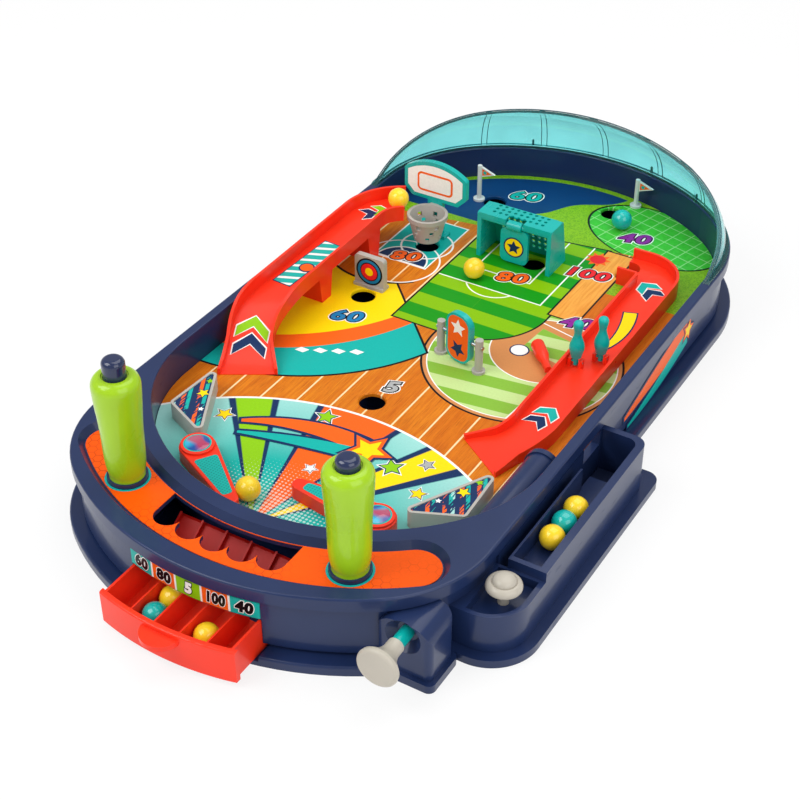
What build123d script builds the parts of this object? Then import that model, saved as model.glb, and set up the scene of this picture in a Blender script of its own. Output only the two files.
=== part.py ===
from build123d import *
import os
from math import asin, atan2, cos, degrees, pi, radians, sin, sqrt

# A table-top sports pinball game, in millimetres.
# X runs to the player's right, Y away from the player and Z up from the table.
# The origin is on the table, in the middle of the body's outline.

os.makedirs("parts", exist_ok=True)

# Body outline: a bow and two corner arcs at each end, joined by straight sides
half_width = 125.0
front_end = -246.0
front_bow = half_width + 40.0
front_bow_y = front_end + front_bow
front_corner = 70.0
back_end = 249.0
back_bow = half_width + 19.0
back_bow_y = back_end - back_bow
back_corner = 95.0
rim_height = 47.0
rim_width = 6.5
band_height = 8.0
band_overhang = 3.0
rim_round = 1.2
flange_reach = 5.0
flange_height = 6.0
flange_round = 1.5
groove_height = 2.5
groove_depth = 5.0
tub_wall = 3.0
tub_floor = 2.5
floor_lift = 2.7
foot_ring = 4.0

# Well that holds the board
well_front = -192.5
well_bow = half_width + 2.0
well_bow_y = well_front + well_bow
well_corner = 90.0
well_wall = 2.5
ledge_width = 3.0
ledge_thick = 3.0
board_top = 25.0
board_thick = 2.5
board_gap = 0.3
hole_width = 15.8
ball_width = 14.0

# Control deck, a curved trough in the front of the rim
deck_middle = -218.5
deck_arc = half_width + 28.5
deck_arc_y = deck_middle + deck_arc
deck_end_x = half_width - 28.0
recess_width = 34.0
recess_floor = 28.0
recess_depth = 4.0
deck_thick = 2.5
overlay_width = 26.5
overlay_thick = 0.5
window_half = 40.5
window_back = deck_arc - 13.0
window_front = deck_arc + 0.5
lane_count = 5

# Grips, buttons and the flipper drive
grip_x = half_width - 55.0
grip_y = -202.0
grip_foot = 9.7
grip_waist = 11.3
grip_shoulder = 13.0
grip_top = 110.0
grip_recess = 0.6
grip_recess_width = 14.4
grip_spigot = 6.0
collar_width = 22.0
collar_height = 3.0
ring_width = 24.6
ring_thick = 0.6
cap_width = 12.4
cap_top = 120.5
cap_bottom = 88.0
cap_gap = 0.25
button_travel = 5.34
pressed = (0.0, 4.8)
rod_width = 5.0
slide_gap = 0.05
spring_seat = 72.0
button_wire = 0.9
button_turns = 7
play_x = -4.0
pivot_x = half_width - 66.5
pivot_y = -152.0
flipper_hub = 10.5
flipper_tip = 4.5
flipper_reach = pivot_x - 8.5
flipper_rest = -33.0
flipper_lift = 0.4
flipper_height = 8.6
hub_rise = 1.5
shaft_width = 6.0
crank_reach = 8.0
crank_thick = 3.0
crank_pin = 3.8
crank_rest = -19.5
slider_low = 8.0
slider_thick = 3.0
slider_width = 12.0
shaft_low = slider_low + slider_thick + 1.0
running_gap = 0.3
wedge_height = 10.0
foot_low = 13.0
foot_height = 12.0

# Score drawer, its slot and the lanes behind it
drawer_half = 40.0
drawer_wall = 1.5
divider = 1.0
drawer_low = 3.3
drawer_high = 23.5
drawer_open = 22.0
drawer_back = -203.0
drawer_front = 3.0
lip_radius = 11.5
lip_low = 17.5
lip_thick = 3.0
slot_gap = 0.4
slot_top = 24.4
label_low = 25.4
label_high = 36.0
label_thick = 0.6
lane_wall = 1.2
lane_high = 19.2
lane_start = -150.0
lane_end = -202.2
sill_y = -198.5
sill_thick = 1.8
sill_high = 29.0
arch_high = 19.6
hood_front = -211.0
hood_low = 20.1
hood_thick = 1.2
fin_rise = 3.0

# Plunger and launch lane
lane_x = half_width - 16.5
plunger_z = 29.0
plunger_rod = 7.4
plunger_tip = -120.0
plunger_neck = -222.0
plunger_socket = 11.0
plunger_neck_width = 9.0
plunger_front = -241.0
plunger_knob = 23.0
collar_y = -160.0
collar_thick = 4.0
collar_disc = 13.0
sleeve_width = 14.0
sleeve_end = -195.0
nose_front = -216.0
nose_back = -192.0
nose_left = lane_x - 15.5
nose_right = lane_x + 15.5
nose_high = 38.0
nose_round = 11.0
nose_niche = 10.0
nose_niche_depth = 5.0
spring_wire = 1.0
spring_turns = 9
tube_width = 19.0
tube_wall = 1.5
tube_mouth = -66.0
tube_end = -128.0
mouth_width = 21.0
mouth_length = 3.5

# Ball tray on the right side, with its loader
tray_width = 28.5
tray_flange = 6.0
tray_flange_height = 5.0
tray_high = 35.0
tray_back = -20.0
tray_front = -185.0
tray_round = 22.0
well_round = 6.0
pocket_back = -146.0
pocket_rim = 29.0
pocket_floor = 23.5
pocket_floor_thick = 2.0
trough_width = 16.0
trough_front_floor = 23.5
trough_back_floor = 19.5
well_back_y = -48.0
lever_slot = 5.2
lever_thick = 4.0
fin_back = -62.0
knob_x = half_width + 11.0
knob_y = -164.0
knob_width = 19.0
knob_top = 41.0
knob_low = 32.2
knob_stem = 6.0
lever_pad = 19.4
pivot_lever_y = -124.0
pivot_lever_z = 14.0
lever_pin = 3.0
gate_back = -26.0
gate_front = -47.0
gate_high = 38.5

# Things that stand on the board
sling_height = 11.0
sling_round = 3.0
sling_x = -1.6
sling_corners = ((half_width - 30.5, -85.7), (half_width - 27.8, -130.1), (half_width - 61.5, -145.2))
ramp_width = 28.0
ramp_wall = 1.8
ramp_floor = 2.0
flare_width = 36.0
left_flare_length = 22.0
left_ramp_start = (39.8 - half_width, -73.5)
left_ramp_heading = 121.0
left_ramp_x = 23.0 - half_width
left_ramp_turn = 50.0
left_ramp_back = 84.0
left_ramp_high = 47.0
left_ramp_end_turn = 30.0
left_ramp_end_angle = 62.0
left_ramp_wall = 8.5
left_ramp_climb = 62.0
leg_thick = 12.0
leg_y = (20.0, 78.0)
right_ramp_start = (half_width - 53.6, -71.5)
right_flare = 38.6
right_flare_length = 17.0
right_ramp_heading = 56.1
right_ramp_x = half_width - 37.5
right_ramp_turn = 45.0
right_ramp_back = 131.0
right_ramp_corner = 15.0
right_ramp_exit = 12.0
right_ramp_high = 28.0
right_ramp_wall = 7.0
right_ramp_climb = 40.0
pin_height = 32.0
pin_belly = 4.6
pin_places = ((right_ramp_x - 6.9, 31.0), (right_ramp_x + 4.1, 42.0))
pin_axle = 1.6
pin_lift = 3.3
bat_end = (right_ramp_x - 37.0, 39.5)
bat_tip = (right_ramp_x - 18.5, 18.5)
bat_thick = 4.2
bat_thin = 2.2
goal_left = -34.4
goal_right = 19.8
goal_front = 117.0
goal_top = 58.0
goal_depth_top = 17.0
goal_depth_foot = 24.0
goal_wall = 3.0
beam_deep = 3.0
beam_high = 3.2
notch_half = 6.5
bar_drop = 4.2
bar_width = 3.4
keeper_width = 20.0
keeper_height = 27.0
keeper_thick = 2.4
knuckle_width = 6.6
net_hole = 2.6
net_pitch = 4.4
net_thick = 1.2
spinner_at = (16.5, 3.7)
spinner_turn = -13.0
spinner_gap = 30.6
spinner_axle_z = 18.0
spinner_width = 19.0
spinner_height = 34.0
spinner_thick = 4.0
spinner_round = 8.0
axle_width = 2.6
post_width = 5.0
post_height = 23.0
target_at = (-74.0, 48.0)
target_width = 22.0
target_height = 22.5
target_thick = 4.0
target_round = 2.5
board_at = (54.0 - half_width, 126.5)
backboard_width = 47.0
backboard_low = 51.5
backboard_side = 71.5
backboard_high = 79.5
backboard_cut = 6.0
backboard_thick = 4.0
basket_at = (56.5 - half_width, 110.5)
basket_rim = 13.6
basket_foot = 8.9
basket_low = 31.0
basket_high = 49.5
basket_wall = 1.5
flag_places = ((-68.5, 183.0), (30.0, 231.0))
flag_heights = (27.0, 21.0)
flag_pole = 3.2
flag_reach = 12.0
flag_drop = 9.0
lane_hole = (right_ramp_x - 24.5, 145.0)
loose_balls = ((goal_left + 12.4, goal_front - 25.6), (lane_hole[0] - 29.0, 198.0))
hole_places = ((-72.5, 36.0), (-7.5, -57.5), (-57.5, 186.0), (3.3, 127.0), lane_hole, (20.0, 214.0))

# Dome over the back end
dome_wall = 2.0
dome_start = 128.0
dome_lip = 216.0
dome_rise = 45.0
dome_height = 65.6
dome_depth = 118.0
dome_seat = 4.5
dome_seat_thick = 1.5
rib_angle = 1.6
rib_rise = 0.6
rib_places = (53.0, 71.5, 90.0, 108.5, 126.0)
tab_places = (56.5, 75.0, 112.0)
tab_width = 3.0
tab_thick = 1.2
tab_high = 9.0

# Fasteners between the tub and the body
screw_shank = 2.6
screw_head = 5.6
screw_head_height = 2.0
screw_length = 13.0
boss_width = 9.0
boss_inset = 13.0
boss_web = 3.0
side_boss_y = (-80.0, 60.0)
back_boss_angle = 60.0
corner_boss_angle = 35.0

# Sizes worked out from the ones above
shell_low = flange_height + groove_height
band_low = rim_height - band_height
floor_top = floor_lift + tub_floor
board_low = board_top - board_thick
deck_top = rim_height - recess_depth
deck_low = deck_top - deck_thick
ball_radius = ball_width / 2
lane_axis_z = board_top + ball_radius
well_half = half_width - rim_width
wall_x = half_width - band_overhang
tray_edge = wall_x + tray_width
rim_shape = (half_width, (front_bow, front_bow_y, front_corner), (back_bow, back_bow_y, back_corner))
well_back = (back_bow - rim_width, back_bow_y, back_corner - rim_width)
well_shape = (well_half, (well_bow, well_bow_y, well_corner), well_back)
far = 2 * half_width + back_bow


def save(piece, name):
    """Label a finished piece and write it to its own file."""
    piece.part.label = name
    export_step(piece.part, f"parts/{name}.step")


def corner_arc(half, bow, bow_y, corner, side):
    """Centre height and sweep of the corner arc that meets both the bow and the straight side."""
    rise = sqrt((bow - corner) ** 2 - (half - corner) ** 2)
    return bow_y + side * rise, degrees(atan2(rise, half - corner))


def outline_face(shape, off=0.0):
    """Fill a body outline, moved outwards by off, in the sketch being drawn."""
    half, (f_bow, f_mid, f_corner), (b_bow, b_mid, b_corner) = shape
    f_y, f_sweep = corner_arc(half, f_bow, f_mid, f_corner, -1)
    b_y, b_sweep = corner_arc(half, b_bow, b_mid, b_corner, 1)
    with BuildLine() as edge:
        Line((half + off, f_y), (half + off, b_y))
        CenterArc((half - b_corner, b_y), b_corner + off, 0, b_sweep)
        CenterArc((0, b_mid), b_bow + off, b_sweep, 180 - 2 * b_sweep)
        CenterArc((b_corner - half, b_y), b_corner + off, 180 - b_sweep, b_sweep)
        Line((-half - off, b_y), (-half - off, f_y))
        CenterArc((f_corner - half, f_y), f_corner + off, 180, f_sweep)
        CenterArc((0, f_mid), f_bow + off, 180 + f_sweep, 180 - 2 * f_sweep)
        CenterArc((half - f_corner, f_y), f_corner + off, 360 - f_sweep, f_sweep)
    make_face(edge.edges())


def deck_slot(width):
    """Fill the banana-shaped slot of the control deck in the sketch being drawn."""
    reach = degrees(asin(deck_end_x / deck_arc))
    middle = Edge.make_circle(deck_arc, Plane((0, deck_arc_y, 0)), 270 - reach, 270 + reach)
    SlotArc(middle, width)


def window_face(shrink=0.0):
    """Fill the deck window, whose front edge has one scallop for each lane."""
    scallop = window_half / lane_count
    with BuildSketch(mode=Mode.PRIVATE) as window:
        with Locations((0, deck_arc_y)):
            Circle(window_front)
            Circle(window_back, mode=Mode.SUBTRACT)
        with Locations((0, deck_arc_y - window_front)):
            Rectangle(2 * window_half, window_front, mode=Mode.INTERSECT)
        for lane in range(lane_count):
            x = (2 * lane + 1 - lane_count) * scallop
            with Locations((x, deck_arc_y - sqrt((window_front - shrink) ** 2 - x**2))):
                Circle(scallop)
    add(window.sketch)


def boss_places():
    """Screw places in plan: two on each side, two at the back and two in the front corners."""
    places = [(s * (half_width - boss_inset), y, 90 - s * 90) for s in (-1, 1) for y in side_boss_y]
    back = back_bow - boss_inset
    a = back_boss_angle
    for s in (-1, 1):
        angle = 90 - s * (90 - a)
        places.append((s * back * cos(radians(a)), back_bow_y + back * sin(radians(a)), angle))
    arc_y, _ = corner_arc(half_width, front_bow, front_bow_y, front_corner, -1)
    front = front_corner - boss_inset
    turn = radians(corner_boss_angle)
    mid = half_width - front_corner
    for s in (-1, 1):
        angle = 90 - s * 90 - s * corner_boss_angle
        places.append((s * (mid + front * cos(turn)), arc_y - front * sin(turn), angle))
    return places


def lane_middle(lane):
    """X of the middle of one of the score lanes."""
    cell = (2 * drawer_half - 2 * drawer_wall - (lane_count - 1) * divider) / lane_count
    return (lane - (lane_count - 1) / 2) * (cell + divider)


def coil(start, along, radius, wire, length, turns):
    """A round-wire spring: each half turn is two arcs that share their tangent at the joint."""
    base = Plane(start, z_dir=along)
    steps = 2 * turns
    rise = length / steps

    def point(i):
        return base.from_local_coords(Vector(radius * cos(pi * i), radius * sin(pi * i), rise * i))

    def tangent(i):
        turn = Vector(-radius * pi * sin(pi * i), radius * pi * cos(pi * i), rise).normalized()
        return (base.from_local_coords(turn) - base.origin).normalized()

    with BuildPart() as spring:
        with BuildLine() as path:
            for i in range(steps):
                p, q, t, u = point(i), point(i + 1), tangent(i), tangent(i + 1)
                gap = q - p
                a = 2 * (t.dot(u) - 1)
                b = -2 * gap.dot(t + u)
                c = gap.dot(gap)
                reach = (-b - sqrt(b * b - 4 * a * c)) / (2 * a)
                reach = reach if reach > 0 else (-b + sqrt(b * b - 4 * a * c)) / (2 * a)
                joint = (p + q + (t - u) * reach) * 0.5
                middle = (q - u * reach - p - t * reach).normalized()
                TangentArc(p, joint, tangent=t)
                TangentArc(joint, q, tangent=middle)
        with BuildSketch(Plane(point(0), z_dir=tangent(0))):
            Circle(wire / 2)
        sweep(path=path.wires()[0])
    print(f"coil gap {length / turns - wire:.2f} mm, volume {spring.part.volume:.1f} mm3")
    return spring


def beside_body(left, right, front, back, corner, front_round=0):
    """Fill a rounded block beside the body, cut away where the body's wall stands."""
    with BuildSketch(mode=Mode.PRIVATE) as wall_plan:
        outline_face(rim_shape, -band_overhang)
    with BuildSketch(mode=Mode.PRIVATE) as block:
        with Locations(((left + right) / 2, (front + back) / 2)):
            Rectangle(right - left, back - front)
        corners = sorted(block.vertices(), key=lambda v: v.X - v.Y)
        fillet(corners[:-1], corner)
        outer = max(block.vertices(), key=lambda v: v.X - v.Y)
        fillet(outer, max(corner, front_round))
        add(wall_plan.sketch, mode=Mode.SUBTRACT)
    add(block.sketch)


def box(x0, x1, y0, y1, z0, z1, mode=Mode.ADD):
    """A plain block between the given bounds."""
    with Locations(((x0 + x1) / 2, (y0 + y1) / 2, (z0 + z1) / 2)):
        Box(x1 - x0, y1 - y0, z1 - z0, mode=mode)


def rod_y(x, y0, y1, z, radius, mode=Mode.ADD):
    """A round rod along Y."""
    with Locations(Location((x, (y0 + y1) / 2, z), (90, 0, 0))):
        Cylinder(radius, y1 - y0, mode=mode)


# Lower tub: flange, groove lip, raised floor, slider pads and the walls that lead the balls
bay_half = drawer_half + slot_gap
bay_floor = drawer_low - running_gap
bay_back = drawer_back + slot_gap
plate_half = drawer_half + 2.0
front_y = front_bow_y - front_bow
cell = (2 * drawer_half - 2 * drawer_wall - (lane_count - 1) * divider) / lane_count
gate_x = [(lane - lane_count / 2) * (cell + divider) for lane in range(1, lane_count)]
pad_rows = (grip_y + 13, grip_y + 36)
lane_ribs = (
    ((gate_x[0], lane_start), (-55, 20), (-58, 62), (-86, 98), (-86, 130), (-40, 152), (-20, 222)),
    ((gate_x[1], lane_start), (-22, -75), (-22, -40), (7, -40), (32, 60), (32, 172)),
    ((gate_x[2], lane_start), (7, -40)),
    ((gate_x[3], lane_start), (82, 40), (84, 166), (32, 172), (-20, 222)),
)
with BuildPart() as base_tub:
    with BuildSketch():
        outline_face(rim_shape, flange_reach)
    extrude(amount=flange_height)
    fillet(base_tub.edges().group_by(Axis.Z)[-1], flange_round)
    with BuildSketch(Plane.XY.offset(flange_height)):
        outline_face(rim_shape, -groove_depth)
    extrude(amount=groove_height)
    with BuildSketch(Plane.XY.offset(floor_top)):
        outline_face(rim_shape, -groove_depth - tub_wall)
    extrude(amount=rim_height, mode=Mode.SUBTRACT)
    with BuildSketch():
        outline_face(rim_shape, -foot_ring)
    extrude(amount=floor_lift, mode=Mode.SUBTRACT)
    # Sunken bay under the drawer
    box(-bay_half - tub_wall, bay_half + tub_wall, front_y + 1, bay_back + tub_wall, 0.9, floor_top)
    box(-bay_half, bay_half, 2 * front_y, bay_back, bay_floor, rim_height, mode=Mode.SUBTRACT)
    mouth_half = plate_half + 0.6
    box(-mouth_half, mouth_half, 2 * front_y, front_y + 12, bay_floor, rim_height, mode=Mode.SUBTRACT)
    # Room for the ball tray and the plunger housing
    with BuildSketch():
        beside_body(wall_x - 20, tray_edge + tray_flange, tray_front - tray_flange, tray_back + 10, 1,
                    tray_round + tray_flange)
    extrude(amount=rim_height, mode=Mode.SUBTRACT)
    with BuildSketch():
        beside_body(nose_left - 3, nose_right + 3, nose_front - 3, nose_back + 6, 1)
    extrude(amount=rim_height, mode=Mode.SUBTRACT)
    # Pads and side guides for the two drive sliders
    for s in (-1, 1):
        for y in pad_rows:
            x = s * grip_x
            wide = slider_width / 2 + running_gap
            box(x - wide - 1.5, x + wide + 1.5, y - 4, y + 4, floor_top, slider_low + 2)
            box(x - wide, x + wide, y - 4, y + 4, slider_low - running_gap, rim_height, mode=Mode.SUBTRACT)
    # Ribs that lead each hole's balls to its lane
    for rib in lane_ribs:
        with BuildSketch(Plane.XY.offset(floor_top)):
            with BuildLine(mode=Mode.PRIVATE) as run:
                Polyline(*rib)
            trace(run.edges(), lane_wall)
        extrude(amount=lane_high + 2 - floor_top)
    # Screw holes
    with Locations([(x, y, floor_lift) for x, y, _ in boss_places()]):
        Cylinder(screw_shank / 2 + 0.4, 2 * floor_top, mode=Mode.SUBTRACT)
save(base_tub, "base_tub")

# Body shell: overhanging band, wall, well wall, board ledge, deck and screw bosses
with BuildPart() as body_shell:
    with BuildSketch(Plane.XY.offset(band_low)):
        outline_face(rim_shape)
    extrude(amount=band_height)
    fillet(body_shell.edges().group_by(Axis.Z)[-1], rim_round)
    with BuildSketch(Plane.XY.offset(shell_low)):
        outline_face(rim_shape, -band_overhang)
    extrude(amount=band_low - shell_low)
    with BuildSketch(Plane.XY.offset(shell_low)):
        outline_face(rim_shape, -rim_width)
    extrude(amount=deck_low - shell_low, mode=Mode.SUBTRACT)
    with BuildSketch(Plane.XY.offset(board_low - ledge_thick)):
        outline_face(well_shape, well_wall)
    extrude(amount=deck_low + 1 - board_low + ledge_thick)
    with BuildSketch(Plane.XY.offset(board_low)):
        outline_face(well_shape)
    extrude(amount=rim_height, mode=Mode.SUBTRACT)
    with BuildSketch(Plane.XY.offset(shell_low)):
        outline_face(well_shape, -ledge_width)
    extrude(amount=rim_height, mode=Mode.SUBTRACT)
    fillet(body_shell.edges().group_by(Axis.Z)[-1].sort_by(Axis.Y)[1:-1], 0.8)
    # Trough of the deck, its window and the collars for the grips
    with BuildSketch(Plane.XY.offset(deck_top)):
        deck_slot(recess_floor)
    with BuildSketch(Plane.XY.offset(rim_height + 0.01)):
        deck_slot(recess_width)
    loft(mode=Mode.SUBTRACT)
    with BuildSketch(Plane.XY.offset(deck_low)):
        window_face()
    extrude(amount=deck_thick, mode=Mode.SUBTRACT)
    with Locations([(s * grip_x, grip_y, deck_top + collar_height / 2) for s in (-1, 1)]):
        Cylinder(collar_width / 2, collar_height)
        Cylinder(grip_foot + 0.1, collar_height, mode=Mode.SUBTRACT)
    with Locations([(s * grip_x, grip_y, deck_low) for s in (-1, 1)]):
        Cylinder(grip_spigot + 0.05, 4 * deck_thick, mode=Mode.SUBTRACT)
    # Bosses for the screws, each tied to the wall by a web
    for x, y, angle in boss_places():
        with Locations((x, y, (floor_top + board_low) / 2)):
            Cylinder(boss_width / 2, board_low - floor_top)
        web = boss_inset - band_overhang - 1
        with Locations(Location((x, y, (shell_low + board_low) / 2), (0, 0, angle))):
            Box(web, boss_web, board_low - shell_low - 1, align=(Align.MIN, Align.CENTER, Align.CENTER))
    # Slot for the drawer, hole for the plunger and gate for the balls
    box(-bay_half, bay_half, 2 * front_y, front_y + 24, shell_low, slot_top, mode=Mode.SUBTRACT)
    rod_y(lane_x, nose_front, collar_y - 12, plunger_z, sleeve_width / 2 + 0.05, mode=Mode.SUBTRACT)
    rod_y(lane_x, collar_y, plunger_tip, plunger_z, plunger_rod / 2 + running_gap, mode=Mode.SUBTRACT)
    box(well_half - 2, half_width, gate_front, gate_back, board_top, gate_high, mode=Mode.SUBTRACT)
    for x, y, _ in boss_places():
        with Locations((x, y, floor_top + screw_length / 2 - tub_floor)):
            Cylinder(screw_shank / 2, screw_length, mode=Mode.SUBTRACT)
save(body_shell, "body_shell")

# Playfield board with its scoring holes and the two shaft holes
with BuildPart() as playfield_board:
    with BuildSketch(Plane.XY.offset(board_low)):
        outline_face(well_shape, -board_gap)
        with Locations(hole_places + (basket_at,)):
            Circle(hole_width / 2, mode=Mode.SUBTRACT)
        with Locations([(play_x + s * pivot_x, pivot_y) for s in (-1, 1)]):
            Circle(shaft_width / 2 + slide_gap, mode=Mode.SUBTRACT)
    extrude(amount=board_thick)
    rims = playfield_board.edges().filter_by(GeomType.CIRCLE).group_by(Axis.Z)[-1]
    chamfer(rims.filter_by(lambda e: abs(e.radius - hole_width / 2) < 0.01), 0.7)
save(playfield_board, "playfield_board")

# Printed sheet in the trough of the deck and the ring round each grip
with BuildPart() as deck_overlay:
    with BuildSketch(Plane.XY.offset(deck_top)):
        deck_slot(overlay_width)
        with Locations([(s * grip_x, grip_y) for s in (-1, 1)]):
            Circle(ring_width / 2 + 0.1, mode=Mode.SUBTRACT)
        with BuildSketch(mode=Mode.PRIVATE) as cut:
            window_face()
        add(cut.sketch, mode=Mode.SUBTRACT)
    extrude(amount=overlay_thick)
save(deck_overlay, "deck_overlay")

# Score strip on the front wall above the drawer
with BuildPart() as score_label:
    with BuildSketch(Plane.XY.offset(label_low)):
        outline_face(rim_shape, label_thick - band_overhang)
        with BuildSketch(mode=Mode.PRIVATE) as wall_plan:
            outline_face(rim_shape, slide_gap - band_overhang)
        add(wall_plan.sketch, mode=Mode.SUBTRACT)
        with Locations((0, front_y)):
            Rectangle(2 * drawer_half, 2 * band_overhang + 20, mode=Mode.INTERSECT)
    extrude(amount=label_high - label_low)
save(score_label, "score_label")

# Score channels: five lanes behind the drawer, with an arched sill that shows in the window
with BuildPart() as score_channels:
    for lane in range(lane_count + 1):
        x = (lane - lane_count / 2) * (cell + divider)
        box(x - lane_wall / 2, x + lane_wall / 2, lane_end, lane_start - 1, floor_top, lane_high)
    edge_x = lane_count / 2 * (cell + divider) + lane_wall / 2
    box(-edge_x, edge_x, sill_y - sill_thick / 2, sill_y + sill_thick / 2, floor_top, sill_high)
    with BuildSketch(Plane.XZ.offset(-sill_y + sill_thick)):
        for lane in range(lane_count):
            with Locations((lane_middle(lane), arch_high - cell / 2)):
                Circle(cell / 2 - 0.1)
            with Locations((lane_middle(lane), (arch_high - cell / 2) / 2)):
                Rectangle(cell - 0.2, arch_high - cell / 2)
    extrude(amount=2 * sill_thick, both=True, mode=Mode.SUBTRACT)
save(score_channels, "score_channels")

# Score hood: a slope with upright fins, in front of the sill and above the drawer
hood_back = sill_y - sill_thick / 2
hood_half = drawer_half - drawer_wall - running_gap
with BuildPart() as score_hood:
    with BuildSketch(Plane.YZ.offset(-hood_half)):
        Polygon((hood_front, hood_low), (hood_back, sill_high - hood_thick), (hood_back, sill_high),
                (hood_front, hood_low + hood_thick), align=None)
    extrude(amount=2 * hood_half)
    for x in [-hood_half + lane_wall / 2] + gate_x + [hood_half - lane_wall / 2]:
        with BuildSketch(Plane.YZ.offset(x - lane_wall / 2)):
            Polygon((hood_front, hood_low + hood_thick / 2), (hood_back, sill_high - hood_thick / 2),
                    (hood_back, sill_high + fin_rise), (hood_front, hood_low + hood_thick + fin_rise),
                    align=None)
        extrude(amount=lane_wall)
save(score_hood, "score_hood")

# Drawer, drawn pulled out as in the picture
out = -drawer_open
plate_in = front_bow - band_overhang + running_gap
floor_z = drawer_low + drawer_wall
with BuildPart() as drawer:
    with BuildSketch(Plane.XY.offset(drawer_low)):
        with Locations((0, front_bow_y + out)):
            Circle(plate_in + drawer_front)
        with Locations((0, (drawer_back + out + 2 * front_y) / 2)):
            Rectangle(2 * drawer_half, drawer_back + out - 2 * front_y, mode=Mode.INTERSECT)
    extrude(amount=drawer_high - drawer_low)
    for lane in range(lane_count):
        with BuildSketch(Plane.XY.offset(floor_z)):
            with Locations((0, front_bow_y + out)):
                Circle(plate_in)
            with Locations((lane_middle(lane), drawer_back + out - drawer_wall - far / 2)):
                Rectangle(cell, far, mode=Mode.INTERSECT)
        extrude(amount=drawer_high, mode=Mode.SUBTRACT)
    box(-drawer_half, drawer_half, drawer_back + out - drawer_wall, drawer_back + out,
        floor_z, drawer_high, mode=Mode.SUBTRACT)
    low = drawer_high - 4
    inner = drawer_half - drawer_wall
    with BuildSketch(Plane.XY.offset(low)):
        with Locations((0, front_bow_y + out)):
            Circle(plate_in)
        with Locations((0, drawer_back + out - far / 2)):
            Rectangle(2 * inner, far, mode=Mode.INTERSECT)
    extrude(amount=drawer_high, mode=Mode.SUBTRACT)
    with BuildSketch(Plane.XY.offset(drawer_low)):
        with Locations((0, front_bow_y + out)):
            Circle(plate_in + drawer_front)
            Circle(plate_in, mode=Mode.SUBTRACT)
        with Locations((0, front_y + out)):
            Rectangle(2 * plate_half, 60, mode=Mode.INTERSECT)
    extrude(amount=drawer_high - drawer_low)
    with BuildSketch(Plane.XY.offset(lip_low)):
        with Locations((0, front_bow_y + out - plate_in - 1)):
            Circle(lip_radius)
        with Locations((0, front_bow_y + out)):
            Circle(plate_in + 1, mode=Mode.SUBTRACT)
    extrude(amount=lip_thick)
    front_edges = drawer.edges().filter_by(GeomType.CIRCLE)
    outer_edges = front_edges.filter_by(lambda e: abs(e.radius - plate_in - drawer_front) < 0.01)
    fillet(outer_edges.group_by(Axis.Z)[-1], 1.0)
save(drawer, "drawer")


def slider_face(x, pin_x, pin_y, foot_y):
    """Plan of a drive slider: a bar below the push rod and an ear that reaches the crank pin."""
    top = pin_y + 6
    start = foot_y + slider_thick
    with Locations((x, (start + top) / 2)):
        Rectangle(slider_width, top - start)
    inner = pin_x - (6 if x > 0 else -6)
    with Locations(((x + inner) / 2, pin_y)):
        Rectangle(abs(x - inner), 12)
    with Locations((pin_x, pin_y)):
        SlotOverall(crank_pin + 3.4, crank_pin + 0.8, mode=Mode.SUBTRACT)


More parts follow.
